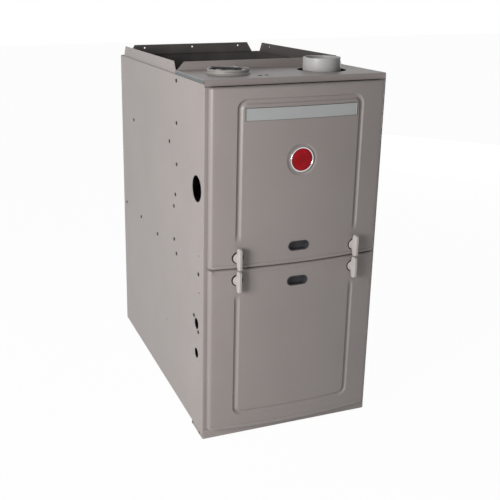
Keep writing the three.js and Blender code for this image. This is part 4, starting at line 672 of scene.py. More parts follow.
PAINT = satin_paint("satin_grey_paint", (147, 139, 136), (143, 135, 132))
# painted shade: a darker paint on the faces inside the casing, standing for the shade that falls there
INNER_FACE_SHADE = satin_paint("inner_face_painted_shade", (88, 84, 82), (80, 77, 75), 0.6)
# painted shade: a dark grey finish for faces that look into the casing or the collar's bore, standing for the shade
# inside
SHADE_LINING = moulded("painted_shade_lining", (96, 92, 90), (80, 77, 76), 0.85, 500, 0.3)
CAP_STRIP = mill_metal("cap_edge_strip", (104, 108, 110), (92, 96, 98), 0.55, (1, 8, 1), 0.2)
ZINC = zinc_sheet("galvanised_sheet", (174, 179, 181), (144, 150, 153))
ALUMINISED = mill_metal("aluminised_sheet", (178, 178, 175), (154, 153, 150), 0.45, (0.4, 0.4, 3))
DARK_STEEL = mill_metal("dark_steel", (84, 82, 81), (64, 62, 61), 0.5, (3, 0.6, 0.6), 0.7)
BLUED_STEEL = mill_metal("heated_steel", (150, 146, 140), (104, 99, 96), 0.4, (1, 6, 1))
KNOB = moulded("knob_plastic", (182, 176, 173), (172, 166, 163), 0.5)
BLACK = moulded("black_plastic", (34, 34, 36), (26, 26, 28), 0.45)
CUP_BLACK = moulded("cup_plastic", (46, 44, 47), (38, 37, 40), 0.6)
WHITE = moulded("white_pipe_plastic", (220, 219, 216), (208, 207, 204), 0.35, 200, 0.02, 0.1)
STUB = moulded("stub_plastic", (180, 178, 177), (170, 168, 167), 0.45, 200, 0.02)
RUBBER = moulded("black_rubber", (30, 30, 31), (22, 22, 23), 0.75)
SILVER = mill_metal("silver_strip", (165, 166, 166), (161, 162, 162), 0.4, (0.2, 0.2, 9), 0.35)
STRIP_EDGE = moulded("strip_edge", (84, 82, 82), (74, 72, 72), 0.5)
CHROME = mill_metal("plated_ring", (222, 224, 226), (206, 208, 212), 0.12, (1, 1, 1), 1.0)
CAST = moulded("cast_alloy", (150, 146, 143), (132, 128, 125), 0.6, 350, 0.12, metallic=0.2)
BOARD = moulded("green_laminate", (44, 96, 62), (36, 84, 54), 0.5, 500, 0.03)
CERAMIC = moulded("pale_ceramic", (222, 214, 200), (204, 196, 182), 0.8, 500, 0.08)
RED_PLASTIC = moulded("red_plastic", (176, 40, 34), (160, 32, 28), 0.4)
COIL_TAPE = moulded("coil_tape", (206, 172, 92), (186, 150, 74), 0.55, 120, 0.05)
COPPER = mill_metal("copper_tube", (188, 118, 84), (150, 88, 62), 0.35, (6, 1, 1))
BRASS = mill_metal("brass_fitting", (196, 166, 98), (164, 134, 74), 0.35, (1, 1, 6))
RED_ENAMEL = enamel("red_enamel", (172, 20, 32), (146, 12, 22), (120, 30, 36))

# the finish of each material slot, for the CAD nodes that keep their shape
FINISHES = {
    "painted_steel": PAINT, "galvanised_steel": ZINC, "aluminised_steel": ALUMINISED, "dark_steel": DARK_STEEL,
    "black_plastic": BLACK, "white_plastic": WHITE, "rubber": RUBBER, "cast_alloy": CAST, "circuit_board": BOARD,
    "ceramic": CERAMIC, "red_plastic": RED_PLASTIC,
}


# ---------------------------------------------------------------- casing
SIDE_SCREWS = [(189.3, z) for z in (841, 741, 640)]
SIDE_SCREWS += [(194 + i * 165, SEAM - 28) for i in range(4)]
SIDE_SCREWS += [(585, 683), (246, 686), (201, 562), (213, 529), (212, 443), (31, 415), (62, 300), (31, 269)]
SCREW_HOLE, SMALL_HOLE = 3.8, 2.2
SMALL_HOLES = [(28, 461), (26, 371), (286, 192)]
ROUND_HOLES = [(45, 616, 30.5), (44, 286, 13.6), (44, 209, 12.2)]


def duct_flange(wall, upstand):
    """The folds from a wall's top in to an upright duct flange, across the wall."""
    shelf = SIDE_TOP - SHEET / 2
    return folded([(wall, SIDE_TOP - FLANGE_LAP), (wall, shelf), (upstand, shelf), (upstand, DUCT_TOP)], radius=1.6)


def side_panel(side):
    middle = side * (HALF_WIDTH - SHEET / 2)
    front_return, back_return = side * (HALF_WIDTH - FRONT_RETURN), side * (HALF_WIDTH - BACK_RETURN)
    wall = drawn_out(folded([
        (back_return, DEPTH - SHEET / 2), (middle, DEPTH - SHEET / 2), (middle, SHEET / 2),
        (front_return, SHEET / 2), (front_return, RETURN_LIP),
    ]), "z", SIDE_FOOT, SIDE_TOP)
    front, back = CAP_DEPTH + 6, DEPTH - 24
    flange = drawn_out(duct_flange(middle, side * (HALF_WIDTH - SHEET / 2 - FLANGE_INSET)), "y", front, back)
    through = (side * HALF_WIDTH - 12, side * HALF_WIDTH + 12)
    holes = [rod("x", SCREW_HOLE, *through, spot, 24) for spot in SIDE_SCREWS]
    holes += [rod("x", SMALL_HOLE, *through, spot, 20) for spot in SMALL_HOLES]
    run = back - front - 2 * FLANGE_SLANT
    holes += [rod("x", FLANGE_HOLE, *through, (front + FLANGE_SLANT + t * run, DUCT_TOP - FLANGE_HOLE_DROP), 20)
              for t in (0.1, 0.88)]
    holes += [rod("x", radius, *through, (y, z), 48) for y, z, radius in ROUND_HOLES]
    ends = [
        drawn_out([(foot, SIDE_TOP), (top, DUCT_TOP + 1), (2 * foot - top, DUCT_TOP + 1)], "x", *through)
        for foot, top in ((front, front + FLANGE_SLANT), (back, back - FLANGE_SLANT))
    ]
    inner = sorted((side * (HALF_WIDTH - SHEET - 0.1), 0))
    notch = block(inner, (-5, 17), (CAP_BOTTOM - SEAT, SIDE_TOP + 5))
    return cut(joined(raw_object(wall), flange), *holes, *ends, notch)


# the side sheets' inward faces take the darker painted shade
for side, hand in SIDES:
    stand_in(f"{hand}_side_sheet", f"{hand}_side_panel", side_panel(side), PAINT,
             lining=(INNER_FACE_SHADE, lambda normal, spot: normal.x * side < -0.5))
for side, hand in SIDES:
    screws(f"{hand}_casing_screws", [(side * HALF_WIDTH, y, z, OUTWARD[side]) for y, z in SIDE_SCREWS],
           BLACK, 6.6, 1.5, "dark_steel")


def back_sheet():
    """The back panel with its own duct flange, notched at the ends like the side panels' flanges."""
    face = DEPTH - SHEET - SEAT - SHEET / 2
    half = INNER_HALF - BEND + SHEET / 2
    sheet = block((-half, half), (face - SHEET / 2, face + SHEET / 2), (SIDE_FOOT, SIDE_TOP))
    upstand = face - FLANGE_INSET
    through = (upstand - 5, upstand + 5)
    end = HALF_WIDTH - 24
    cuts = [
        drawn_out([(side * end, SIDE_TOP), (side * (end - FLANGE_SLANT), DUCT_TOP + 1),
                   (side * (end + FLANGE_SLANT), DUCT_TOP + 1)], "y", *through)
        for side, _ in SIDES
    ]
    cuts += [rod("y", FLANGE_HOLE, *through, (x, DUCT_TOP - FLANGE_HOLE_DROP), 20) for x in (-150, 0, 150)]
    return cut(joined(raw_object(sheet), drawn_out(duct_flange(face, upstand), "x", -end, end)), *cuts)


# the back panel's inner face takes the painted shade
stand_in("back_sheet", "back_panel", back_sheet(), PAINT, lining=(SHADE_LINING, lambda normal, spot: normal.y < -0.5))
back_rivets = [(x, z) for x in (-176, 176) for z in (90, 250, 410, 570, 730)]
back_rivets += [(x, z) for x in (-88, 0, 88) for z in (30, 828)]
rivets("back_rivets", [(x, DEPTH - SHEET - SEAT, z, "y") for x, z in back_rivets], ZINC, 4, 1.1)


def cap_sheet():
    """The top cap: a front band, the flat top with its holes, and the duct's front flange."""
    band, top, back = SHEET / 2, CAP_TOP - SHEET / 2, CAP_DEPTH - SHEET / 2
    plate = drawn_out(folded([
        (14, CAP_BOTTOM + SHEET / 2), (band, CAP_BOTTOM + SHEET / 2), (band, top), (back, top), (back, DUCT_TOP),
    ]), "x", -INNER_HALF, INNER_HALF)
    slants = [
        drawn_out([
            (side * (INNER_HALF + 1), CAP_TOP + 1), (side * (INNER_HALF - 4), CAP_TOP + 1),
            (side * (INNER_HALF - 4 - FLANGE_SLANT), DUCT_TOP + 1), (side * (INNER_HALF + 1), DUCT_TOP + 1),
        ], "y", CAP_DEPTH - 5, CAP_DEPTH + 5)
        for side, _ in SIDES
    ]
    round_holes = [(57, VENT, 72), (43, INTAKE, 64), *[(4.6, spot, 24) for spot in PLUG_HOLES], (3.4, (-176, 150), 24)]
    holes = [rod("z", radius, CAP_TOP - 5, CAP_TOP + 5, spot, steps) for radius, spot, steps in round_holes]
    return cut(raw_object(plate), *slants, *holes)


# the cap's underside and the back of its duct flange take the painted shade
stand_in("top_cap_sheet", "top_cap", cap_sheet(), PAINT, lining=(
    SHADE_LINING, lambda normal, spot: normal.z < -0.5 or (normal.y > 0.5 and spot[1] > CAP_DEPTH - 20)))
for side, hand in SIDES:
    x = sorted((side * INNER_HALF, side * (INNER_HALF - SHEET)))
    skirt = raw_object(block(x, (5, CAP_DEPTH - 4), (CAP_TOP - SKIRT_DROP, CAP_TOP - SHEET - 0.05)))
    piece(f"{hand}_cap_skirt", skirt, CAP_STRIP, slot="galvanised_steel")
for side, hand in SIDES:
    wing = side * (HALF_WIDTH - SHEET / 2)
    rivets(f"{hand}_base_rivets", [(wing, y, 4.4, OUTWARD[side]) for y in (22, 70)], BLACK, 3.7, 2.35, "dark_steel")


# ---------------------------------------------------------------- doors
def bow(x):
    """How far the door's bowed front stands, as y."""
    return BOW_CENTRE - math.sqrt(BOW_RADIUS**2 - x**2)


def smooth_step(value, low, high):
    t = min(max((value - low) / (high - low), 0), 1)
    return t * t * (3 - 2 * t)


def groove_depth(x, z, run_out, far, up):
    """How far the embossed channel sinks the sheet at a spot. It runs up each side from run_out and along far."""
    beyond = (z - far) * up + GROOVE_CORNER
    reach = GROOVE_HALF - GROOVE_CORNER
    if beyond <= 0:
        away = abs(abs(x) - GROOVE_HALF)
    elif abs(x) <= reach:
        away = abs(z - far)
    else:
        away = abs(math.hypot(abs(x) - reach, beyond) - GROOVE_CORNER)
    if away >= GROOVE_REACH:
        return 0
    fade = smooth_step((z - run_out) * up, -10, 16)
    return GROOVE_DEPTH * fade * (1 - (away / GROOVE_REACH) ** 2) ** 0.8


def dish_depth(x, z):
    """How far the badge's seat sinks the sheet at a spot, with a trough round the badge."""
    radius = math.hypot(x, z - BADGE_Z)
    floor = bow(0) + BADGE_DISH
    trough = BADGE_TROUGH * smooth_step(radius, BADGE_RADIUS - 2, BADGE_RADIUS + 0.5)
    return (floor + trough - bow(x)) * (1 - smooth_step(radius, BADGE_RADIUS + 2.5, BADGE_RADIUS + 9))


def hem_depth(z, hems):
    """How far the sheet moves at its hems: it flares out to a lower edge or rolls in to an upper one, beside a
    fine crease. An edge's inward is 1 where it is the lower edge and -1 where it is the upper one."""
    depth = 0
    for edge, inward in hems:
        away = (z - edge) * inward
        if away < HEM_WIDTH:
            depth -= inward * HEM_FLARE * (1 - away / HEM_WIDTH)
        depth += CREASE_DEPTH * (1 - smooth_step(abs(away - HEM_WIDTH), 0, 1.5))
    return depth


def stations(low, high, coarse, fine):
    """Places from low to high, coarse apart, and closer together in the fine ranges of (start, end, step)."""
    spots, value = [], low
    while value < high - 1e-6:
        spots.append(value)
        step = next((s for a, b, s in fine if a - 1e-6 <= value < b), coarse)
        edge = min([a for a, b, s in fine if value < a - 1e-6] + [high])
        value = min(value + step, edge, high)
    return [*spots, high]


def door_skin(bottom, top, run_out, far, up, hems):
    """The door's outer skin: a bowed front with rolled edges, side walls and lips, closed at the back."""
    dished = up > 0
    seat = BADGE_RADIUS + 10
    across_door = [(-157, -138, 1.1), (-137.9, -124, 2), (124, 137.9, 2), (138, 157, 1.1)]
    bend = sorted((far, far - up * 26))
    upward = [(bend[0] - 8, bend[1] + 8, 1.2), (run_out - 18, run_out + 20, 2.5)]
    if dished:
        across_door.append((-seat, seat, 1.7))
        upward.append((BADGE_Z - seat, BADGE_Z + seat, 1.7))
    upward += [(*sorted((edge + inward * 6, edge + inward * 12)), 0.6) for edge, inward in hems]

    def corner_of(inset):
        """The front corner's radius, its centre's y and the turn that it makes, at an inset from the outline."""
        corner = max(DOOR_CORNER - inset, 1)
        aside = DOOR_HALF - inset - corner
        centre = BOW_CENTRE - math.sqrt((BOW_RADIUS - inset - corner) ** 2 - aside**2)
        return corner, centre, math.atan2(centre - BOW_CENTRE, aside)

    edge = BOW_RADIUS * math.cos(corner_of(0)[2])
    front = stations(-edge, edge, 9, sorted(across_door))
    corner_steps, rim_steps = 8, 6

    def outline(inset, z):
        half = DOOR_HALF - inset
        corner, centre, turn = corner_of(inset)
        left = [(-half + corner - corner * math.cos(turn * t / corner_steps),
                 centre + corner * math.sin(turn * t / corner_steps)) for t in range(corner_steps)]
        reach = (BOW_RADIUS - inset) * math.cos(turn)
        middle = []
        for x in [x * reach / edge for x in front]:
            y = BOW_CENTRE - math.sqrt((BOW_RADIUS - inset) ** 2 - x**2)
            y += groove_depth(x, z, run_out, far, up) + (dish_depth(x, z) if dished else 0) + hem_depth(z, hems)
            middle.append((x, y))
        right = [(-x, y) for x, y in left[::-1]]
        return [(-half, DOOR_BACK), *left, *middle, *right, (half, DOOR_BACK)]

    angles = [math.pi / 2 * i / rim_steps for i in range(rim_steps + 1)]
    rows = [(bottom + DOOR_RIM * (1 - math.cos(a)), DOOR_RIM * (1 - math.sin(a))) for a in angles]
    rows += [(z, 0) for z in stations(bottom + DOOR_RIM, top - DOOR_RIM, 12, sorted(upward))[1:-1]]
    rows += [(top - DOOR_RIM * (1 - math.sin(a)), DOOR_RIM * (1 - math.cos(a))) for a in angles]
    rings = [[(x, y, z) for x, y in outline(inset, z)] for z, inset in rows]
    count, tall = len(rings[0]), len(rings)
    ends = [list(range(count))[::-1], list(range((tall - 1) * count, tall * count))]
    return [p for ring in rings for p in ring], grid(count, tall) + ends


def door(height, up, ends, run_out, far, hems):
    skin = raw_object(door_skin(*ends, run_out, far, up, hems))
    shell = skin.modifiers.new("sheet", "SOLIDIFY")
    shell.thickness, shell.offset = SHEET * MM, -1
    shell.use_even_offset = True
    settled(skin)
    holes = [rod("y", KNOB_HOLE, -40, -5, (side * GROOVE_HALF, SEAM + up * KNOB_OFFSET), 56) for side, _ in SIDES]
    holes.append(drawn_out(obround(CUP_WIDTH + 0.6, CUP_HEIGHT + 0.6, SEAM + up * CUP_OFFSET), "y", -45, -5))
    stand_in(f"{height}_door_sheet", f"{height}_door", cut(skin, *holes), PAINT)


door("upper", 1, UPPER_Z, SEAM + 70, UPPER_Z[1] - 31, [(UPPER_Z[0], 1)])
door("lower", -1, LOWER_Z, SEAM - 70, LOWER_Z[0] + 42, [(LOWER_Z[1], -1), (LOWER_Z[0], 1)])


# ---------------------------------------------------------------- door furniture
def name_strip():
    """A bare silver strip bowed like the door, with a raised rim."""
    def places(half):
        return stations(-half, half, 4, [(-half, -half + 4, 0.5), (half - 4, half, 0.5)])

    def raised(x, z):
        margin = min(STRIP_HALF - abs(x), STRIP_RISE - abs(z))
        return smooth_step(margin, 0, 0.5) + 0.6 * (1 - smooth_step(margin, 1.5, 2.5))

    columns, rows = places(STRIP_HALF), places(STRIP_RISE)
    points = [(x, bow(x) - SEAT - raised(x, z), STRIP_MIDDLE + z) for z in rows for x in columns]
    points += [(x, bow(x) - SEAT, STRIP_MIDDLE + z) for z in rows for x in columns]
    wide, tall = len(columns), len(rows)
    offset = wide * tall
    faces = grid(wide, tall)
    faces += [[i + offset for i in quad[::-1]] for quad in faces]
    border = [*range(wide), *range(2 * wide - 1, offset, wide)]
    border += [*range(offset - 2, offset - wide - 1, -1), *range(offset - 2 * wide, 0, -wide)]
    faces += [[a, a + offset, b + offset, b] for a, b in zip(border, border[1:] + border[:1])]
    return raw_object((points, faces))


stand_in("bare_name_strip", "name_strip", name_strip(), SILVER, lining=(
    STRIP_EDGE, lambda normal, spot: STRIP_HALF - abs(spot[0]) < STRIP_BORDER
    or STRIP_RISE - abs(spot[2] - STRIP_MIDDLE) < STRIP_BORDER))

badge_floor = bow(0) + BADGE_DISH
rim_inside, dome_foot = BADGE_DISC + SEAT, badge_floor - 1.8
spun("badge_rim", "badge_ring", [
    (rim_inside, badge_floor - SEAT), (BADGE_RADIUS, badge_floor - SEAT),
    *arc_profile(((BADGE_RADIUS + rim_inside) / 2, badge_floor - 2), (BADGE_RADIUS - rim_inside) / 2, 0, -180, 8),
], "y", (0, BADGE_Z), CHROME, steps=96)
dome = [(BADGE_DISC * math.cos(a), dome_foot - 1.4 * math.sin(a)) for a in [math.pi / 24 * i for i in range(12)]]
spun("badge_enamel", "badge_disc", [
    (0, badge_floor - SEAT), (BADGE_DISC, badge_floor - SEAT), *dome, (0, dome_foot - 1.4),
], "y", (0, BADGE_Z), RED_ENAMEL, steps=96)


def finger_cup(z):
    def slot(grow, start, end):
        return drawn_out(obround(CUP_WIDTH + grow, CUP_HEIGHT + grow, z), "y", start, end)

    front = bow(0) - 0.8
    lip = slot(2 * CUP_LIP, front - 0.2, bow(0) - 0.1)
    cup = joined(raw_object(lip), slot(-0.4, front - 0.1, front + CUP_DEPTH))
    return bevelled(cut(cup, slot(-2 * CUP_WALL, front - 5, front + CUP_DEPTH - CUP_WALL)), 0.35)


for height, up in (("upper", 1), ("lower", -1)):
    stand_in(f"{height}_cup", f"{height}_finger_cup", finger_cup(SEAM + up * CUP_OFFSET), CUP_BLACK)


# ---------------------------------------------------------------- knobs
def knob(side, up):
    """A leaf-shaped wing on a round hub, with the flange, stem and tongue behind the door."""
    face = bow(GROOVE_HALF)
    x0, z0 = side * GROOVE_HALF, SEAM + up * KNOB_OFFSET
    flange = bow(GROOVE_HALF + 17) + SHEET * 1.02 + SEAT
    stem_end = 7
    hub = turned([
        (0, face - 2.2), (10.6, face - 2.2), (11.3, face - 1.7), (11.3, flange), (17, flange),
        (17, flange + 2), (5, flange + 2), (5, stem_end), (0, stem_end),
    ], "y", (x0, z0))
    half, reach = 26, 21
    leaf = [(-2, -half * 0.42), *curve(
        (-5, -half * 0.82), (-7, -half), (-11, -half), (-reach + 0.4, -half * 0.97), (-reach + 0.3, -half * 0.8),
        (-reach - 0.3, 0),
        (-reach + 0.3, half * 0.8), (-reach + 0.4, half * 0.97), (-11, half), (-7, half), (-5, half * 0.82),
    ), (-2, half * 0.42)]
    wing = raw_object(drawn_out([(face + a, z0 + b) for a, b in leaf], "x", x0 - 3.5, x0 + 3.5))
    bevelled(wing, 0.9, 3, 50)
    tongue = block(sorted((x0 - side * 5, x0 + side * 22)), (stem_end - 3, stem_end), (z0 - 4.5, z0 + 4.5))
    return bevelled(joined(wing, hub, tongue), 0.5, 2, 50)


# painted shade: the knob's parts behind the door's face are black, so the gap round the hub in the door's hole reads
# dark
behind_door = bow(GROOVE_HALF) + 0.4
for height, up in (("upper", 1), ("lower", -1)):
    for side, hand in SIDES:
        name = f"{height}_{hand}_knob"
        stand_in(f"{name}_grip", name, knob(side, up), KNOB, angle=40,
                 lining=(BLACK, lambda normal, spot: spot[1] > behind_door))


# ---------------------------------------------------------------- pipe fittings in the cap
COLLAR_FOOT, COLLAR_TOP = CAP_TOP + SEAT, CAP_TOP + SEAT + 12
CLIP_RADIUS, CLIP_COUNT, CLIP_ANGLE = 43, 4, 40


def collar_clip(angle):
    """A clip's pad on the collar's rim, at an angle round the pipe."""
    c, s = math.cos(math.radians(angle)), math.sin(math.radians(angle))
    near, far = CLIP_RADIUS - 4.2, CLIP_RADIUS + 4.2
    corners = [(near, -7.5), (far, -6), (far, 6), (near, 7.5)]
    outline = [(INTAKE[0] + a * c - b * s, INTAKE[1] + a * s + b * c) for a, b in corners]
    return drawn_out(outline, "z", COLLAR_TOP - 2.2, COLLAR_TOP + 0.9)


# painted shade: the collar's bore takes the dark lining, standing for the shade down inside the pipe
def collar_bore_shade_mask(normal, spot):
    return math.dist(spot[:2], INTAKE) < 42.8 and spot[2] < COLLAR_TOP - 3


spun("intake_collar_ring", "intake_collar", [
    (40, 0), (50, 0), (50, 1.6), (48, 2.6), (47.2, 4), (47.2, 7), *arc_profile((45.6, 9), 3, -30, 160, 10),
    (42.4, 7), (42.4, 2), (40, 2),
], "z", INTAKE, CAST, COLLAR_FOOT,
     extra=[collar_clip(CLIP_ANGLE + 360 / CLIP_COUNT * i) for i in range(CLIP_COUNT)], lining=(SHADE_LINING, collar_bore_shade_mask))
screws("collar_clip_screws",
       [(x, y, COLLAR_TOP + 0.7, "z") for x, y in spaced_round(INTAKE, CLIP_RADIUS, CLIP_COUNT, CLIP_ANGLE)],
       DARK_STEEL, 5.4, 1.2, "dark_steel")
rivets("cap_hole_plugs", [(*spot, CAP_TOP, "z") for spot in PLUG_HOLES], BLACK, 5.4, 1.6, "black_plastic")
spun("intake_seal_lips", "intake_seal", [
    (35, 0), (41.6, 0), (41.6, 4.2), (39.6, 4.2), (39, 2.6), (37.6, 2.6), (37, 4.2), (36, 4.2),
], "z", INTAKE, RUBBER, CAP_TOP + 4.5)
foot, top = node_box("intake_pipe")[2]
spun("intake_pipe_bore", "intake_pipe", [
    (35, foot), (38, foot), (38, top - 0.6), (37.4, top), (35.4, top), (35, top - 0.6),
], "z", INTAKE, WHITE)
foot, top = node_box("vent_stub")[2]
spun("vent_stub_socket", "vent_stub", [
    (30.6, foot), (38.4, foot), (44.45, foot + 10), (44.45, top - 1), *arc_profile((43.45, top - 1), 1, 0, 90, 4),
    *arc_profile((39.95, top - 1), 1, 90, 180, 4), (38.95, foot + 28), (26.15, foot + 22), (26.15, foot + 18),
    (30.6, foot + 18),
], "z", VENT, STUB, steps=96)
foot, top = node_box("vent_pipe")[2]
spun("vent_pipe_bore", "vent_pipe", [(26.15, foot), (30.15, foot), (30.15, top), (26.15, top)], "z", VENT, WHITE)
foot, top = node_box("vent_boot")[2]
spun("vent_boot_sleeve", "vent_boot", [
    (26.9, foot), (32, foot), (32, foot + 15), (35.9, foot + 31),
    *[(35.25 if i % 2 else 36.15, foot + 34 + i * 2.2) for i in range(10)], (36.15, top),
    (30.9, top), (30.9, foot + 31), (26.9, foot + 24),
], "z", VENT, RUBBER)

# ---------------------------------------------------------------- blower
BLOWER = (400, 215)  # the wheel's axis in the (y, z) plane
WHEEL_RADIUS, WHEEL_HALF, BLADE_DEPTH, BLADE_COUNT = 127, 100, 21, 44
WHEEL_INNER = WHEEL_RADIUS - BLADE_DEPTH
SCROLL_HALF, SCROLL_TOP, SCROLL_SHEET = 116, SEAM - 0.9, 1.5
SCROLL_GAP, SCROLL_GROWTH = 9, 76
INLET_RADIUS = 112
MOTOR_START, MOTOR_END = 22, 142
MOUNT_RADIUS, MOUNT_ARMS = 124, 3


def cage_blade():
    """A thin forward-curved blade about the wheel's axis."""
    def face(offset):
        points = []
        for t in [i / 6 for i in range(7)]:
            radius = WHEEL_INNER + 1 + t * (BLADE_DEPTH - 2)
            angle = math.radians(13 * t * t) + offset / radius
            points.append((radius * math.cos(angle), radius * math.sin(angle)))
        return points
    return drawn_out(face(-0.4) + face(0.4)[::-1], "x", -WHEEL_HALF + 1, WHEEL_HALF - 1)


def wheel_ring(side):
    profile = [(WHEEL_INNER, 4), (WHEEL_RADIUS, 6), (WHEEL_RADIUS, 1.2), (WHEEL_RADIUS - 1.5, 0), (WHEEL_INNER, 1)]
    return raw_object(turned([(radius, side * (WHEEL_HALF - inset)) for radius, inset in profile], "x", BLOWER, 96))


hub = turned([
    (0, -16), (17, -16), (18, -15), (18, 13), (17, 14), (6.35, 14), (6.35, 37), (5.4, 38), (0, 38),
], "x", BLOWER, 48)
web = turned([
    (0, -1), (60, -1), (66, -4), (96, -4), (112, -1), (112, 1), (96, -2), (66, -2), (60, 1), (0, 1),
], "x", BLOWER, 96)
cage = ringed(cage_blade(), "x", BLOWER, BLADE_COUNT, ZINC)
stand_in("squirrel_cage_wheel", "blower_wheel",
         merged(cage, wheel_ring(-1), wheel_ring(1), joined(raw_object(web), hub)), ZINC)


def scroll_line(inset, top, steps=56):
    """The scroll's outline in the (y, z) plane: it winds out from the throat, under the wheel and up the back."""
    y, z = BLOWER
    first = WHEEL_RADIUS + SCROLL_GAP
    throat = y + first * math.cos(math.radians(80)) + inset
    points = [(throat, top)]
    for i in range(steps + 1):
        angle = math.radians(80 + 280 * i / steps)
        radius = first + SCROLL_GROWTH * i / steps - inset
        points.append((y + radius * math.cos(angle) if i else throat, z + radius * math.sin(angle)))
    return [*points, (y + first + SCROLL_GROWTH - inset, top)]


def blower_scroll():
    outside, inside = SCROLL_HALF, SCROLL_HALF - SCROLL_SHEET
    shell = cut(
        raw_object(drawn_out(scroll_line(0, SCROLL_TOP), "x", -outside, outside)),
        drawn_out(scroll_line(SCROLL_SHEET, SCROLL_TOP + 10), "x", -inside, inside),
        rod("x", INLET_RADIUS, -outside - 5, outside + 5, BLOWER, 96))
    bell = [(INLET_RADIUS - 1, outside - 1), (INLET_RADIUS + 9, outside - 1), (INLET_RADIUS + 8.6, outside + 1.4)]
    bell += arc_profile((INLET_RADIUS + 3, outside + 1.2), 3.8, 10, 170, 8) + [(INLET_RADIUS - 1, outside + 0.5)]
    ear_run = (BLOWER[0] + 32, BLOWER[0] + WHEEL_RADIUS + 77)
    ear_rise = (SCROLL_TOP - 24, SCROLL_TOP - 24 + SCROLL_SHEET)
    additions = []
    for side, _ in SIDES:
        additions.append(turned([(radius, side * x) for radius, x in bell], "x", BLOWER, 96))
        additions.append(block(sorted((side * (outside - 1), side * (outside + 16))), ear_run, ear_rise))
    return joined(shell, *additions)


stand_in("blower_scroll", "blower_housing", blower_scroll(), ZINC)
spun("blower_motor_shell", "blower_motor", [
    (0, MOTOR_START), (20, MOTOR_START), (22, MOTOR_START + 6), (58, MOTOR_START + 8),
    *arc_profile((58, MOTOR_START + 18), 10, -90, 0), (68, 50), (67.2, 50.6), (67.2, 52.4), (68, 53),
    (68, 112), (67.2, 112.6), (67.2, 114.4), (68, 115), *arc_profile((56, MOTOR_END - 12), 12, 0, 90),
    (24, MOTOR_END), (22, MOTOR_END - 3), (0, MOTOR_END - 3),
], "x", BLOWER, DARK_STEEL)
# painted shade: thin black patches on the motor's end stand for its vent openings and the dark inside them
vent_slot = drawn_out([(34, -1.6), (52, -2.4), (52, 2.4), (34, 1.6)], "x", MOTOR_END - 0.6, MOTOR_END + 0.5)
piece("motor_vent_slot_shade", ringed(vent_slot, "x", BLOWER, 18, BLACK), BLACK, BODY_OF["blower_motor"], "dark_steel")

# ---------------------------------------------------------------- burners and heat exchanger
BURNER_XS = [across("z", f"burner_{i}")[0] for i in (1, 2, 3)]
BURNER_Z, BURNER_FRONT, BURNER_LENGTH = 745, 95, 95
TUBE_RADIUS, TUBE_REAR, TUBE_NEAR, TUBE_BEND = 24, 640, 290, 40
COIL_X, COIL_Y, COIL_Z = node_box("secondary_coil")
COIL_TOP, COIL_FOOT, COIL_HEADER = 540, 458, 91
FIN, FIN_PITCH = 0.7, 3.4

BURNER_PROFILE = [
    (16.6, 0), *curve((17, 0.6), (12, 8), (11.6, 20), (10.4, 34), (11.4, 42), (17.6, 62), (18.5, 74)),
    (18.5, BURNER_LENGTH), (17, BURNER_LENGTH),
    *curve((17, 75), (16, 62), (10, 42), (9, 34), (10.2, 20), (10.6, 8), (15.4, 0.6)),
]
spider_end = BURNER_FRONT + BURNER_LENGTH
for i, x in enumerate(BURNER_XS, 1):
    spun(f"in_shot_burner_{i}", f"burner_{i}", BURNER_PROFILE, "y", (x, BURNER_Z), ALUMINISED, BURNER_FRONT, angle=45)
    spider = drawn_out([(-0.8, 2), (0.8, 2), (0.8, 16.4), (-0.8, 16.4)], "y", spider_end - 3, spider_end - 1.6)
    piece(f"burner_{i}_spider", ringed(spider, "y", (x, BURNER_Z), 6, DARK_STEEL), DARK_STEEL,
          BODY_OF[f"burner_{i}"], "dark_steel")


def serpentine(x):
    """One heat exchanger tube: back, down, forward, down, back and down into the coil's header."""
    front, end = CAP_DEPTH + SEAT + SHEET + SEAT, 548.3
    turns = [
        ((TUBE_REAR, BURNER_Z - TUBE_BEND), TUBE_BEND, 90, -90),
        ((TUBE_NEAR, BURNER_Z - 3 * TUBE_BEND), TUBE_BEND, 90, 270),
        ((TUBE_REAR - 26, end + 6), BURNER_Z - 4 * TUBE_BEND - end - 6, 90, 0),
    ]
    path = [(front + (TUBE_REAR - front) * i / 12, BURNER_Z) for i in range(12)]
    for turn in turns:
        path += arc_profile(*turn, 14)
    path.append((TUBE_REAR - 26 + turns[2][1], end))
    return [(x, y, z) for y, z in path]


for i, x in enumerate(BURNER_XS, 1):
    stand_in(f"serpentine_tube_{i}", f"heat_tube_{i}", raw_object(tube(serpentine(x), TUBE_RADIUS, 32)), BLUED_STEEL)


def coil():
    """The condensing coil: thin fins on rows of tubes between the front plate and the header."""
    front, back = COIL_Y
    fin_run = (front + 14, back - COIL_HEADER + 1)
    fins_x = COIL_X[0] + 5
    fin = block((fins_x, fins_x + FIN), fin_run, (COIL_FOOT + 22, COIL_TOP - 1))
    shell = joined(
        raw_object(block(COIL_X, (front, front + 15), (COIL_FOOT, COIL_TOP))),
        block(COIL_X, (back - COIL_HEADER, back), (COIL_FOOT, COIL_TOP + 8)),
        block(COIL_X, (front + 2, back - 2), (COIL_FOOT, COIL_FOOT + 21)),
        block(COIL_X, (front + 4, back - 4), (COIL_Z[0], COIL_FOOT + 1)))
    opening = (BLOWER[0] + 23.6, BLOWER[0] + WHEEL_RADIUS + SCROLL_GAP + SCROLL_GROWTH)
    cut(shell, block((-SCROLL_HALF, SCROLL_HALF), opening, (COIL_Z[0] - 5, COIL_FOOT + 20)))
    bevelled(shell, 0.8)
    fins = rowed(fin, int((COIL_X[1] - 5 - fins_x) / FIN_PITCH), FIN_PITCH, ALUMINISED)
    rails = [block((x, x + 1.6), fin_run, (COIL_FOOT + 20, COIL_TOP)) for x in (COIL_X[0], COIL_X[1] - 1.6)]
    return merged(shell, fins, *map(raw_object, rails))


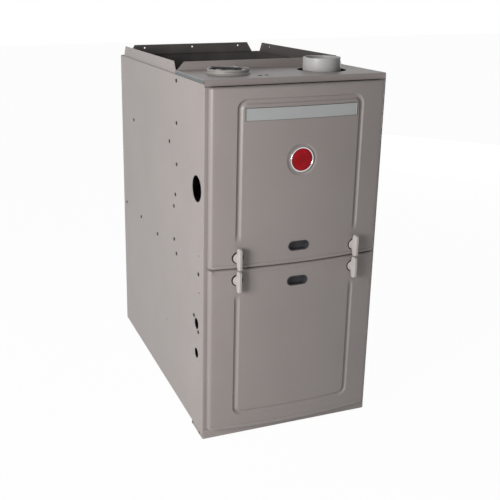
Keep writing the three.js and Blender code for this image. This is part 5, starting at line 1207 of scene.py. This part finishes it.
stand_in("condensing_coil", "secondary_coil", coil(), ALUMINISED)
coil_rods = [rod("x", 4.6, COIL_X[0] + 1, COIL_X[1] - 1, (COIL_Y[0] + 40 + i * 36, COIL_FOOT + 36 + (i % 2) * 26), 20)
             for i in range(10)]
piece("coil_tubes", raw_object(together(coil_rods)), COPPER, BODY_OF["secondary_coil"], "aluminised_steel")

# ---------------------------------------------------------------- inducer
INDUCER_Y = node_box("inducer_housing")[1]
INDUCER_HUB = (62, 540)
SPOUT_RADIUS, SPOUT_BORE, SHOULDER = 26, 22, 600
IMPELLER_Y = INDUCER_Y[1] - 21


def inducer_line(inset, steps=40):
    """The inducer's scroll in the (x, z) plane: it winds from the throat round the wheel and up to the spout."""
    points = [(VENT[0] - SPOUT_RADIUS + inset, SHOULDER - inset)]
    for i in range(steps + 1):
        angle = math.radians(65 + 295 * i / steps)
        radius = 60 + 16 * i / steps - inset
        points.append((INDUCER_HUB[0] + radius * math.cos(angle), INDUCER_HUB[1] + radius * math.sin(angle)))
    return [*points, (VENT[0] + SPOUT_RADIUS - inset, SHOULDER - inset)]


def inducer_shell():
    front, back = INDUCER_Y
    obj = bevelled(raw_object(drawn_out(inducer_line(0), "y", front, back)), 2.2, 3)
    band = drawn_out(inducer_line(-1.6), "y", back - 17, back - 13)
    joined(obj, rod("z", SPOUT_RADIUS, SHOULDER - 8, SHOULDER + 40, VENT, 72), band)
    return cut(
        obj, drawn_out(inducer_line(2.5), "y", front + 2.5, back - 2.5),
        rod("z", SPOUT_BORE, SHOULDER - 30, SHOULDER + 45, VENT, 72),
        rod("y", 24, back - 5, back + 5, INDUCER_HUB, 64), rod("y", 8, front - 5, front + 5, INDUCER_HUB, 40))


def impeller_vane():
    """A thin backward-curved vane about the impeller's axis."""
    def face(offset):
        spans = [(15 + 36.6 * t, 0.35 * t * t) for t in [i / 6 for i in range(7)]]
        return [(radius * math.cos(angle + offset / radius), radius * math.sin(angle + offset / radius))
                for radius, angle in spans]
    return drawn_out(face(-0.8) + face(0.8)[::-1], "y", IMPELLER_Y - 11, IMPELLER_Y + 11)


stand_in("inducer_shell", "inducer_housing", inducer_shell(), BLACK)
shaft_end = -47 - SEAT
plate = turned([(radius, IMPELLER_Y + along) for radius, along in [
    (0, shaft_end), (3.4, shaft_end), (4, shaft_end + 0.6), (4, -12), (52, -12), (52, -10.4), (12, -10),
    (12, 5), (11, 6), (0, 6),
]], "y", INDUCER_HUB, 72)
vanes = ringed(impeller_vane(), "y", INDUCER_HUB, 12, ALUMINISED)
stand_in("inducer_impeller", "inducer_wheel", merged(vanes, raw_object(plate)), ALUMINISED)
motor_back = INDUCER_Y[0] - SEAT
spun("inducer_motor_can", "inducer_motor", [
    (0, -56), (22, -56), *arc_profile((26, -44), 12, -90, 0), (38, -30), (37.3, -29.4), (37.3, -26.6), (38, -26),
    (38, -12), (30, -6), (30, 0), (4.7, 0), (4.7, -14), (0, -14),
], "y", INDUCER_HUB, DARK_STEEL, motor_back)
# painted shade: thin black patches on the inducer motor's end stand for its vent openings and the dark inside them
fan_slot = drawn_out([(-1.2, 10), (1.2, 10), (1.6, 20), (-1.6, 20)], "y", motor_back - 56.2, motor_back - 55.6)
piece("inducer_motor_slot_shade", ringed(fan_slot, "y", INDUCER_HUB, 12, BLACK), BLACK, BODY_OF["inducer_motor"],
      "dark_steel")

# ---------------------------------------------------------------- gas train and controls
MANIFOLD_Y, MANIFOLD_RADIUS, MANIFOLD_END = 42, 9, 1.4
VALVE_X, VALVE_TOP = -12, node_box("gas_manifold")[2][0]


def gas_manifold():
    """A pipe with rounded ends across the burners, a drop with a hex nut on the valve, and an orifice for each."""
    left, right = node_box("gas_manifold")[0]
    shoulder, nozzle = MANIFOLD_RADIUS - MANIFOLD_END, BURNER_FRONT - 3
    pipe = turned([
        (0, left), (shoulder, left), (MANIFOLD_RADIUS, left + MANIFOLD_END), (MANIFOLD_RADIUS, right - MANIFOLD_END),
        (shoulder, right), (0, right),
    ], "x", (MANIFOLD_Y, BURNER_Z), 40)
    nut = turned([(radius, VALVE_TOP + along) for radius, along in [
        (0, 0), (12, 0), (13, 1), (13, 12.6), (12, 13.6), (0, 13.6),
    ]], "z", (VALVE_X, MANIFOLD_Y), 6)
    orifice = [(0, MANIFOLD_Y), (5, MANIFOLD_Y), (5, nozzle - 3), (2.6, nozzle), (0, nozzle)]
    return joined(
        raw_object(pipe), rod("z", MANIFOLD_RADIUS, VALVE_TOP, BURNER_Z, (VALVE_X, MANIFOLD_Y), 40), nut,
        *[turned(orifice, "y", (x, BURNER_Z), 6) for x in BURNER_XS])


stand_in("burner_manifold", "gas_manifold", gas_manifold(), DARK_STEEL,
         lining=(BRASS, lambda normal, spot: spot[1] > MANIFOLD_Y + MANIFOLD_RADIUS + 0.5))
switch_back = node_box("pressure_switch")[1][1]
spun("pressure_switch_can", "pressure_switch", [
    (0, -46), (3, -46), (3, -43), (2.4, -42), (3, -34), (22, -34), (24, -33), (26, -22), (29, -20.4),
    (30, -19.4), (30, -14.6), (29, -14), (26, -14), (26, -6), (0, -6),
], "y", (-152, 640), BLACK, switch_back, extra=[block((-166, -138), (switch_back - 7, switch_back), (604, 676))],
     lining=(ZINC, lambda normal, spot: spot[1] > switch_back - 7.2))
front, back = node_box("gas_valve_knob")[1]
grip_x, grip_z = across("y", "gas_valve_knob")
valve_knob = turned([
    (0, front + 7), (11, front + 7), (12, front + 8), (12, back), (0, back),
], "y", (grip_x, grip_z), 48)
grip = block((grip_x - 2.5, grip_x + 2.5), (front, front + 9), (grip_z - 11, grip_z + 11))
stand_in("valve_turn_knob", "gas_valve_knob", bevelled(joined(raw_object(valve_knob), grip), 0.7, 3), RED_PLASTIC)

# ---------------------------------------------------------------- the rest of the CAD nodes, with softened edges
BOARD_FACE = node_box("control_board")[1][1]
TRANSFORMER_FRONT = node_box("transformer")[1][0]
SWITCH_FOOT = node_box("door_switch")[2][0]
VALVE_FRONT, VALVE_FOOT = node_box("gas_valve")[1][0], node_box("gas_valve")[2][0]
PROBE_TOP = node_box("igniter")[2][1]
ROLLOUT_FOOT = node_box("rollout_switch")[2][0]
# edge softening in millimetres, and where a node's second finish goes
SOFTENED = {
    "base_pan": 0, "front_base_rail": 0.3, "centre_rail": 0.3, "blower_deck": 0, "vestibule_panel": 0,
    "collector_box": 1.6, "condensate_trap": 1.6, "gas_valve": 1.4, "junction_box": 0.5,
    "rollout_switch": 0.5, "transformer": 0.6,
}
SECOND_FINISH = {
    "control_board": (BLACK, lambda normal, spot: spot[1] < BOARD_FACE - 10.2),
    "transformer": (COIL_TAPE, lambda normal, spot: spot[1] < TRANSFORMER_FRONT + 5.4 or
                    (306 < spot[2] < 338 and spot[1] < TRANSFORMER_FRONT + 6)),
    "door_switch": (ZINC, lambda normal, spot: spot[2] > SWITCH_FOOT + 17.2),
    "gas_valve": (BLACK, lambda normal, spot: spot[2] > VALVE_FOOT + 62.5 and spot[0] < -25),
    "igniter": (DARK_STEEL, lambda normal, spot: spot[2] < PROBE_TOP - 16.5),
    "flame_sensor": (DARK_STEEL, lambda normal, spot: spot[2] < PROBE_TOP - 16.5),
    "rollout_switch": (ZINC, lambda normal, spot: spot[2] < ROLLOUT_FOOT + 2.2),
}
OTHER_FINISH = {"front_base_rail": PAINT, "centre_rail": PAINT, "condensate_trap": WHITE}


def refined(node):
    """A copy of a CAD node with welded points and softened edges."""
    work = bmesh.new()
    work.from_mesh(NODES[node].data)
    bmesh.ops.remove_doubles(work, verts=work.verts, dist=1e-6)
    bmesh.ops.dissolve_limit(work, angle_limit=math.radians(0.5), verts=work.verts, edges=work.edges)
    mesh = bpy.data.meshes.new(node)
    work.to_mesh(mesh)
    work.free()
    obj = new_object(node, mesh)
    width = SOFTENED.get(node, 0.35)
    if width:
        bevelled(obj, width, 2, 45)
    finish = OTHER_FINISH.get(node, FINISHES[SLOT_OF[node]])
    stand_in(f"{node}_finished", node, obj, finish, angle=40, lining=SECOND_FINISH.get(node))


for node in NODES:
    if node not in REPLACED:
        refined(node)

terminal = block((-192, -191), (BOARD_FACE - 17, BOARD_FACE - 9), (333, 339))
piece("board_terminals", rowed(terminal, 9, 5.2, SILVER), SILVER, BODY_OF["control_board"], "galvanised_steel")
(left, right), _, (foot, top) = node_box("control_panel")
screws("control_panel_screws", on_front((left + 8, right - 8), 60 - SHEET / 2, (foot + 12, top - 14)), ZINC)
(left, right), (front, _), (foot, top) = node_box("burner_box")
screws("burner_box_screws",
       on_front((left + 9, (left + right) / 2 + 40, right - 9), front, (foot + 9, top - 9)), ZINC)
screws("collector_screws", on_front((-48, 184), node_box("collector_box")[1][0], (470, 529, 588)), ZINC, 7)
screws("inducer_screws", [(x, INDUCER_Y[0], z, "-y") for x, z in spaced_round(INDUCER_HUB, 50, 5, 30)], ZINC, 6, 2.4)
mount_face = SCROLL_HALF + 5 + SEAT + 2.4
screws("motor_mount_screws",
       [(mount_face, y, z, "x") for y, z in spaced_round(BLOWER, MOUNT_RADIUS, MOUNT_ARMS, 90)], ZINC, 8, 3)
(left, _), (front, _), (foot, top) = node_box("junction_box")
screws("junction_box_screws", on_front([left + 12], front, (foot + 14, top - 14)), ZINC, 6, 2.4)
screws("gas_valve_screws", on_front((-38, 14), VALVE_FRONT, (614, 660)), DARK_STEEL, 5, 2, "dark_steel")


# ---------------------------------------------------------------- camera, light and floor
FRAME_SIDE = 500  # the photograph's width and height in pixels
FLOOR_SIZE, FLOOR_INSET = 12, 0.03  # metres
FLOOR_GLOW = 0.97


def lamp(name, place, target, size, energy):
    data = bpy.data.lights.new(name, "AREA")
    data.shape, data.size, data.energy = "SQUARE", size, energy
    aimed(new_object(name, data), place, Vector(target) - Vector(place))


def aimed(obj, place, direction):
    obj.location = place
    obj.rotation_mode = "QUATERNION"
    obj.rotation_quaternion = direction.to_track_quat("-Z", "Y")


def background_share(tree):
    """1 where the camera, a reflection or a view through glass sees the background, else 0."""
    rays = new_node(tree, "ShaderNodeLightPath").outputs
    share = rays["Is Camera Ray"]
    for ray in ("Is Glossy Ray", "Is Transmission Ray"):
        share = new_node(tree, "ShaderNodeMath", {0: share, 1: rays[ray]}, operation="MAXIMUM").outputs[0]
    return share


def studio_world(level):
    world = bpy.data.worlds.new("studio")
    world.use_nodes = True
    tree = world.node_tree
    background = tree.nodes["Background"]
    background.inputs["Color"].default_value = (1, 1, 1, 1)
    strength = new_node(tree, "ShaderNodeMapRange", {"Value": background_share(tree), "To Min": level, "To Max": 1})
    tree.links.new(strength.outputs["Result"], background.inputs["Strength"])
    bpy.context.scene.world = world


def dull_surface(name, grey):
    """A plain rough material, with its node tree and its surface."""
    material = bpy.data.materials.new(name)
    material.use_nodes = True
    surface = material.node_tree.nodes["Principled BSDF"]
    surface.inputs["Base Color"].default_value = (grey, grey, grey, 1)
    surface.inputs["Roughness"].default_value = 1
    return material, material.node_tree, surface


def studio_floor():
    """A pale floor that shows as background. Under the cabinet it is lit by what reaches it instead."""
    xs = (-FLOOR_SIZE, cad_low[0] + FLOOR_INSET, cad_high[0] - FLOOR_INSET, FLOOR_SIZE)
    ys = (-FLOOR_SIZE, FRONT + FLOOR_INSET, cad_high[1] - FLOOR_INSET, FLOOR_SIZE)
    mesh = bpy.data.meshes.new("floor")
    mesh.from_pydata([(x, y, 0) for y in ys for x in xs], [], grid(len(xs), len(ys)))
    floor = new_object("floor", mesh)
    floor.location.z = -0.0005
    pale, tree, surface = dull_surface("pale_floor", 0.9)
    surface.inputs["Specular IOR Level"].default_value = 0
    glow = new_node(tree, "ShaderNodeEmission")
    share = new_node(tree, "ShaderNodeMath", {0: background_share(tree), 1: FLOOR_GLOW}, operation="MULTIPLY")
    mix = new_node(tree, "ShaderNodeMixShader", {
        "Fac": share.outputs[0], 1: surface.outputs[0], 2: glow.outputs[0]})
    tree.links.new(mix.outputs[0], tree.nodes["Material Output"].inputs["Surface"])
    mesh.materials.append(pale)
    mesh.materials.append(dull_surface("floor_under_cabinet", 0.5)[0])
    mesh.polygons[4].material_index = 1


def photo_camera():
    """The camera at the photograph's viewing angle."""
    focal, centre = 758.9, (190, 205)  # pixels
    yaw, pitch = math.radians(18.99), math.radians(16.336)
    data = bpy.data.cameras.new("camera")
    data.sensor_width = 36
    data.lens = focal / FRAME_SIDE * data.sensor_width
    data.shift_x = (FRAME_SIDE / 2 - centre[0]) / FRAME_SIDE
    data.shift_y = -(FRAME_SIDE / 2 - centre[1]) / FRAME_SIDE
    obj = new_object("camera", data)
    aimed(obj, (-0.7725, -1.8479, 1.0609),
          Vector((math.sin(yaw) * math.cos(pitch), math.cos(yaw) * math.cos(pitch), -math.sin(pitch))))
    bpy.context.scene.camera = obj


bpy.context.scene.view_settings.view_transform = "Standard"
photo_camera()
studio_world(0.16)
studio_floor()
lamp("key", (-2.42, -1.62, 1.12), (0, 0, 0.45), 1.1, 79)
lamp("fill", (2.7, 2.4, 0.5), (0, 0, 0.4), 1, 40)
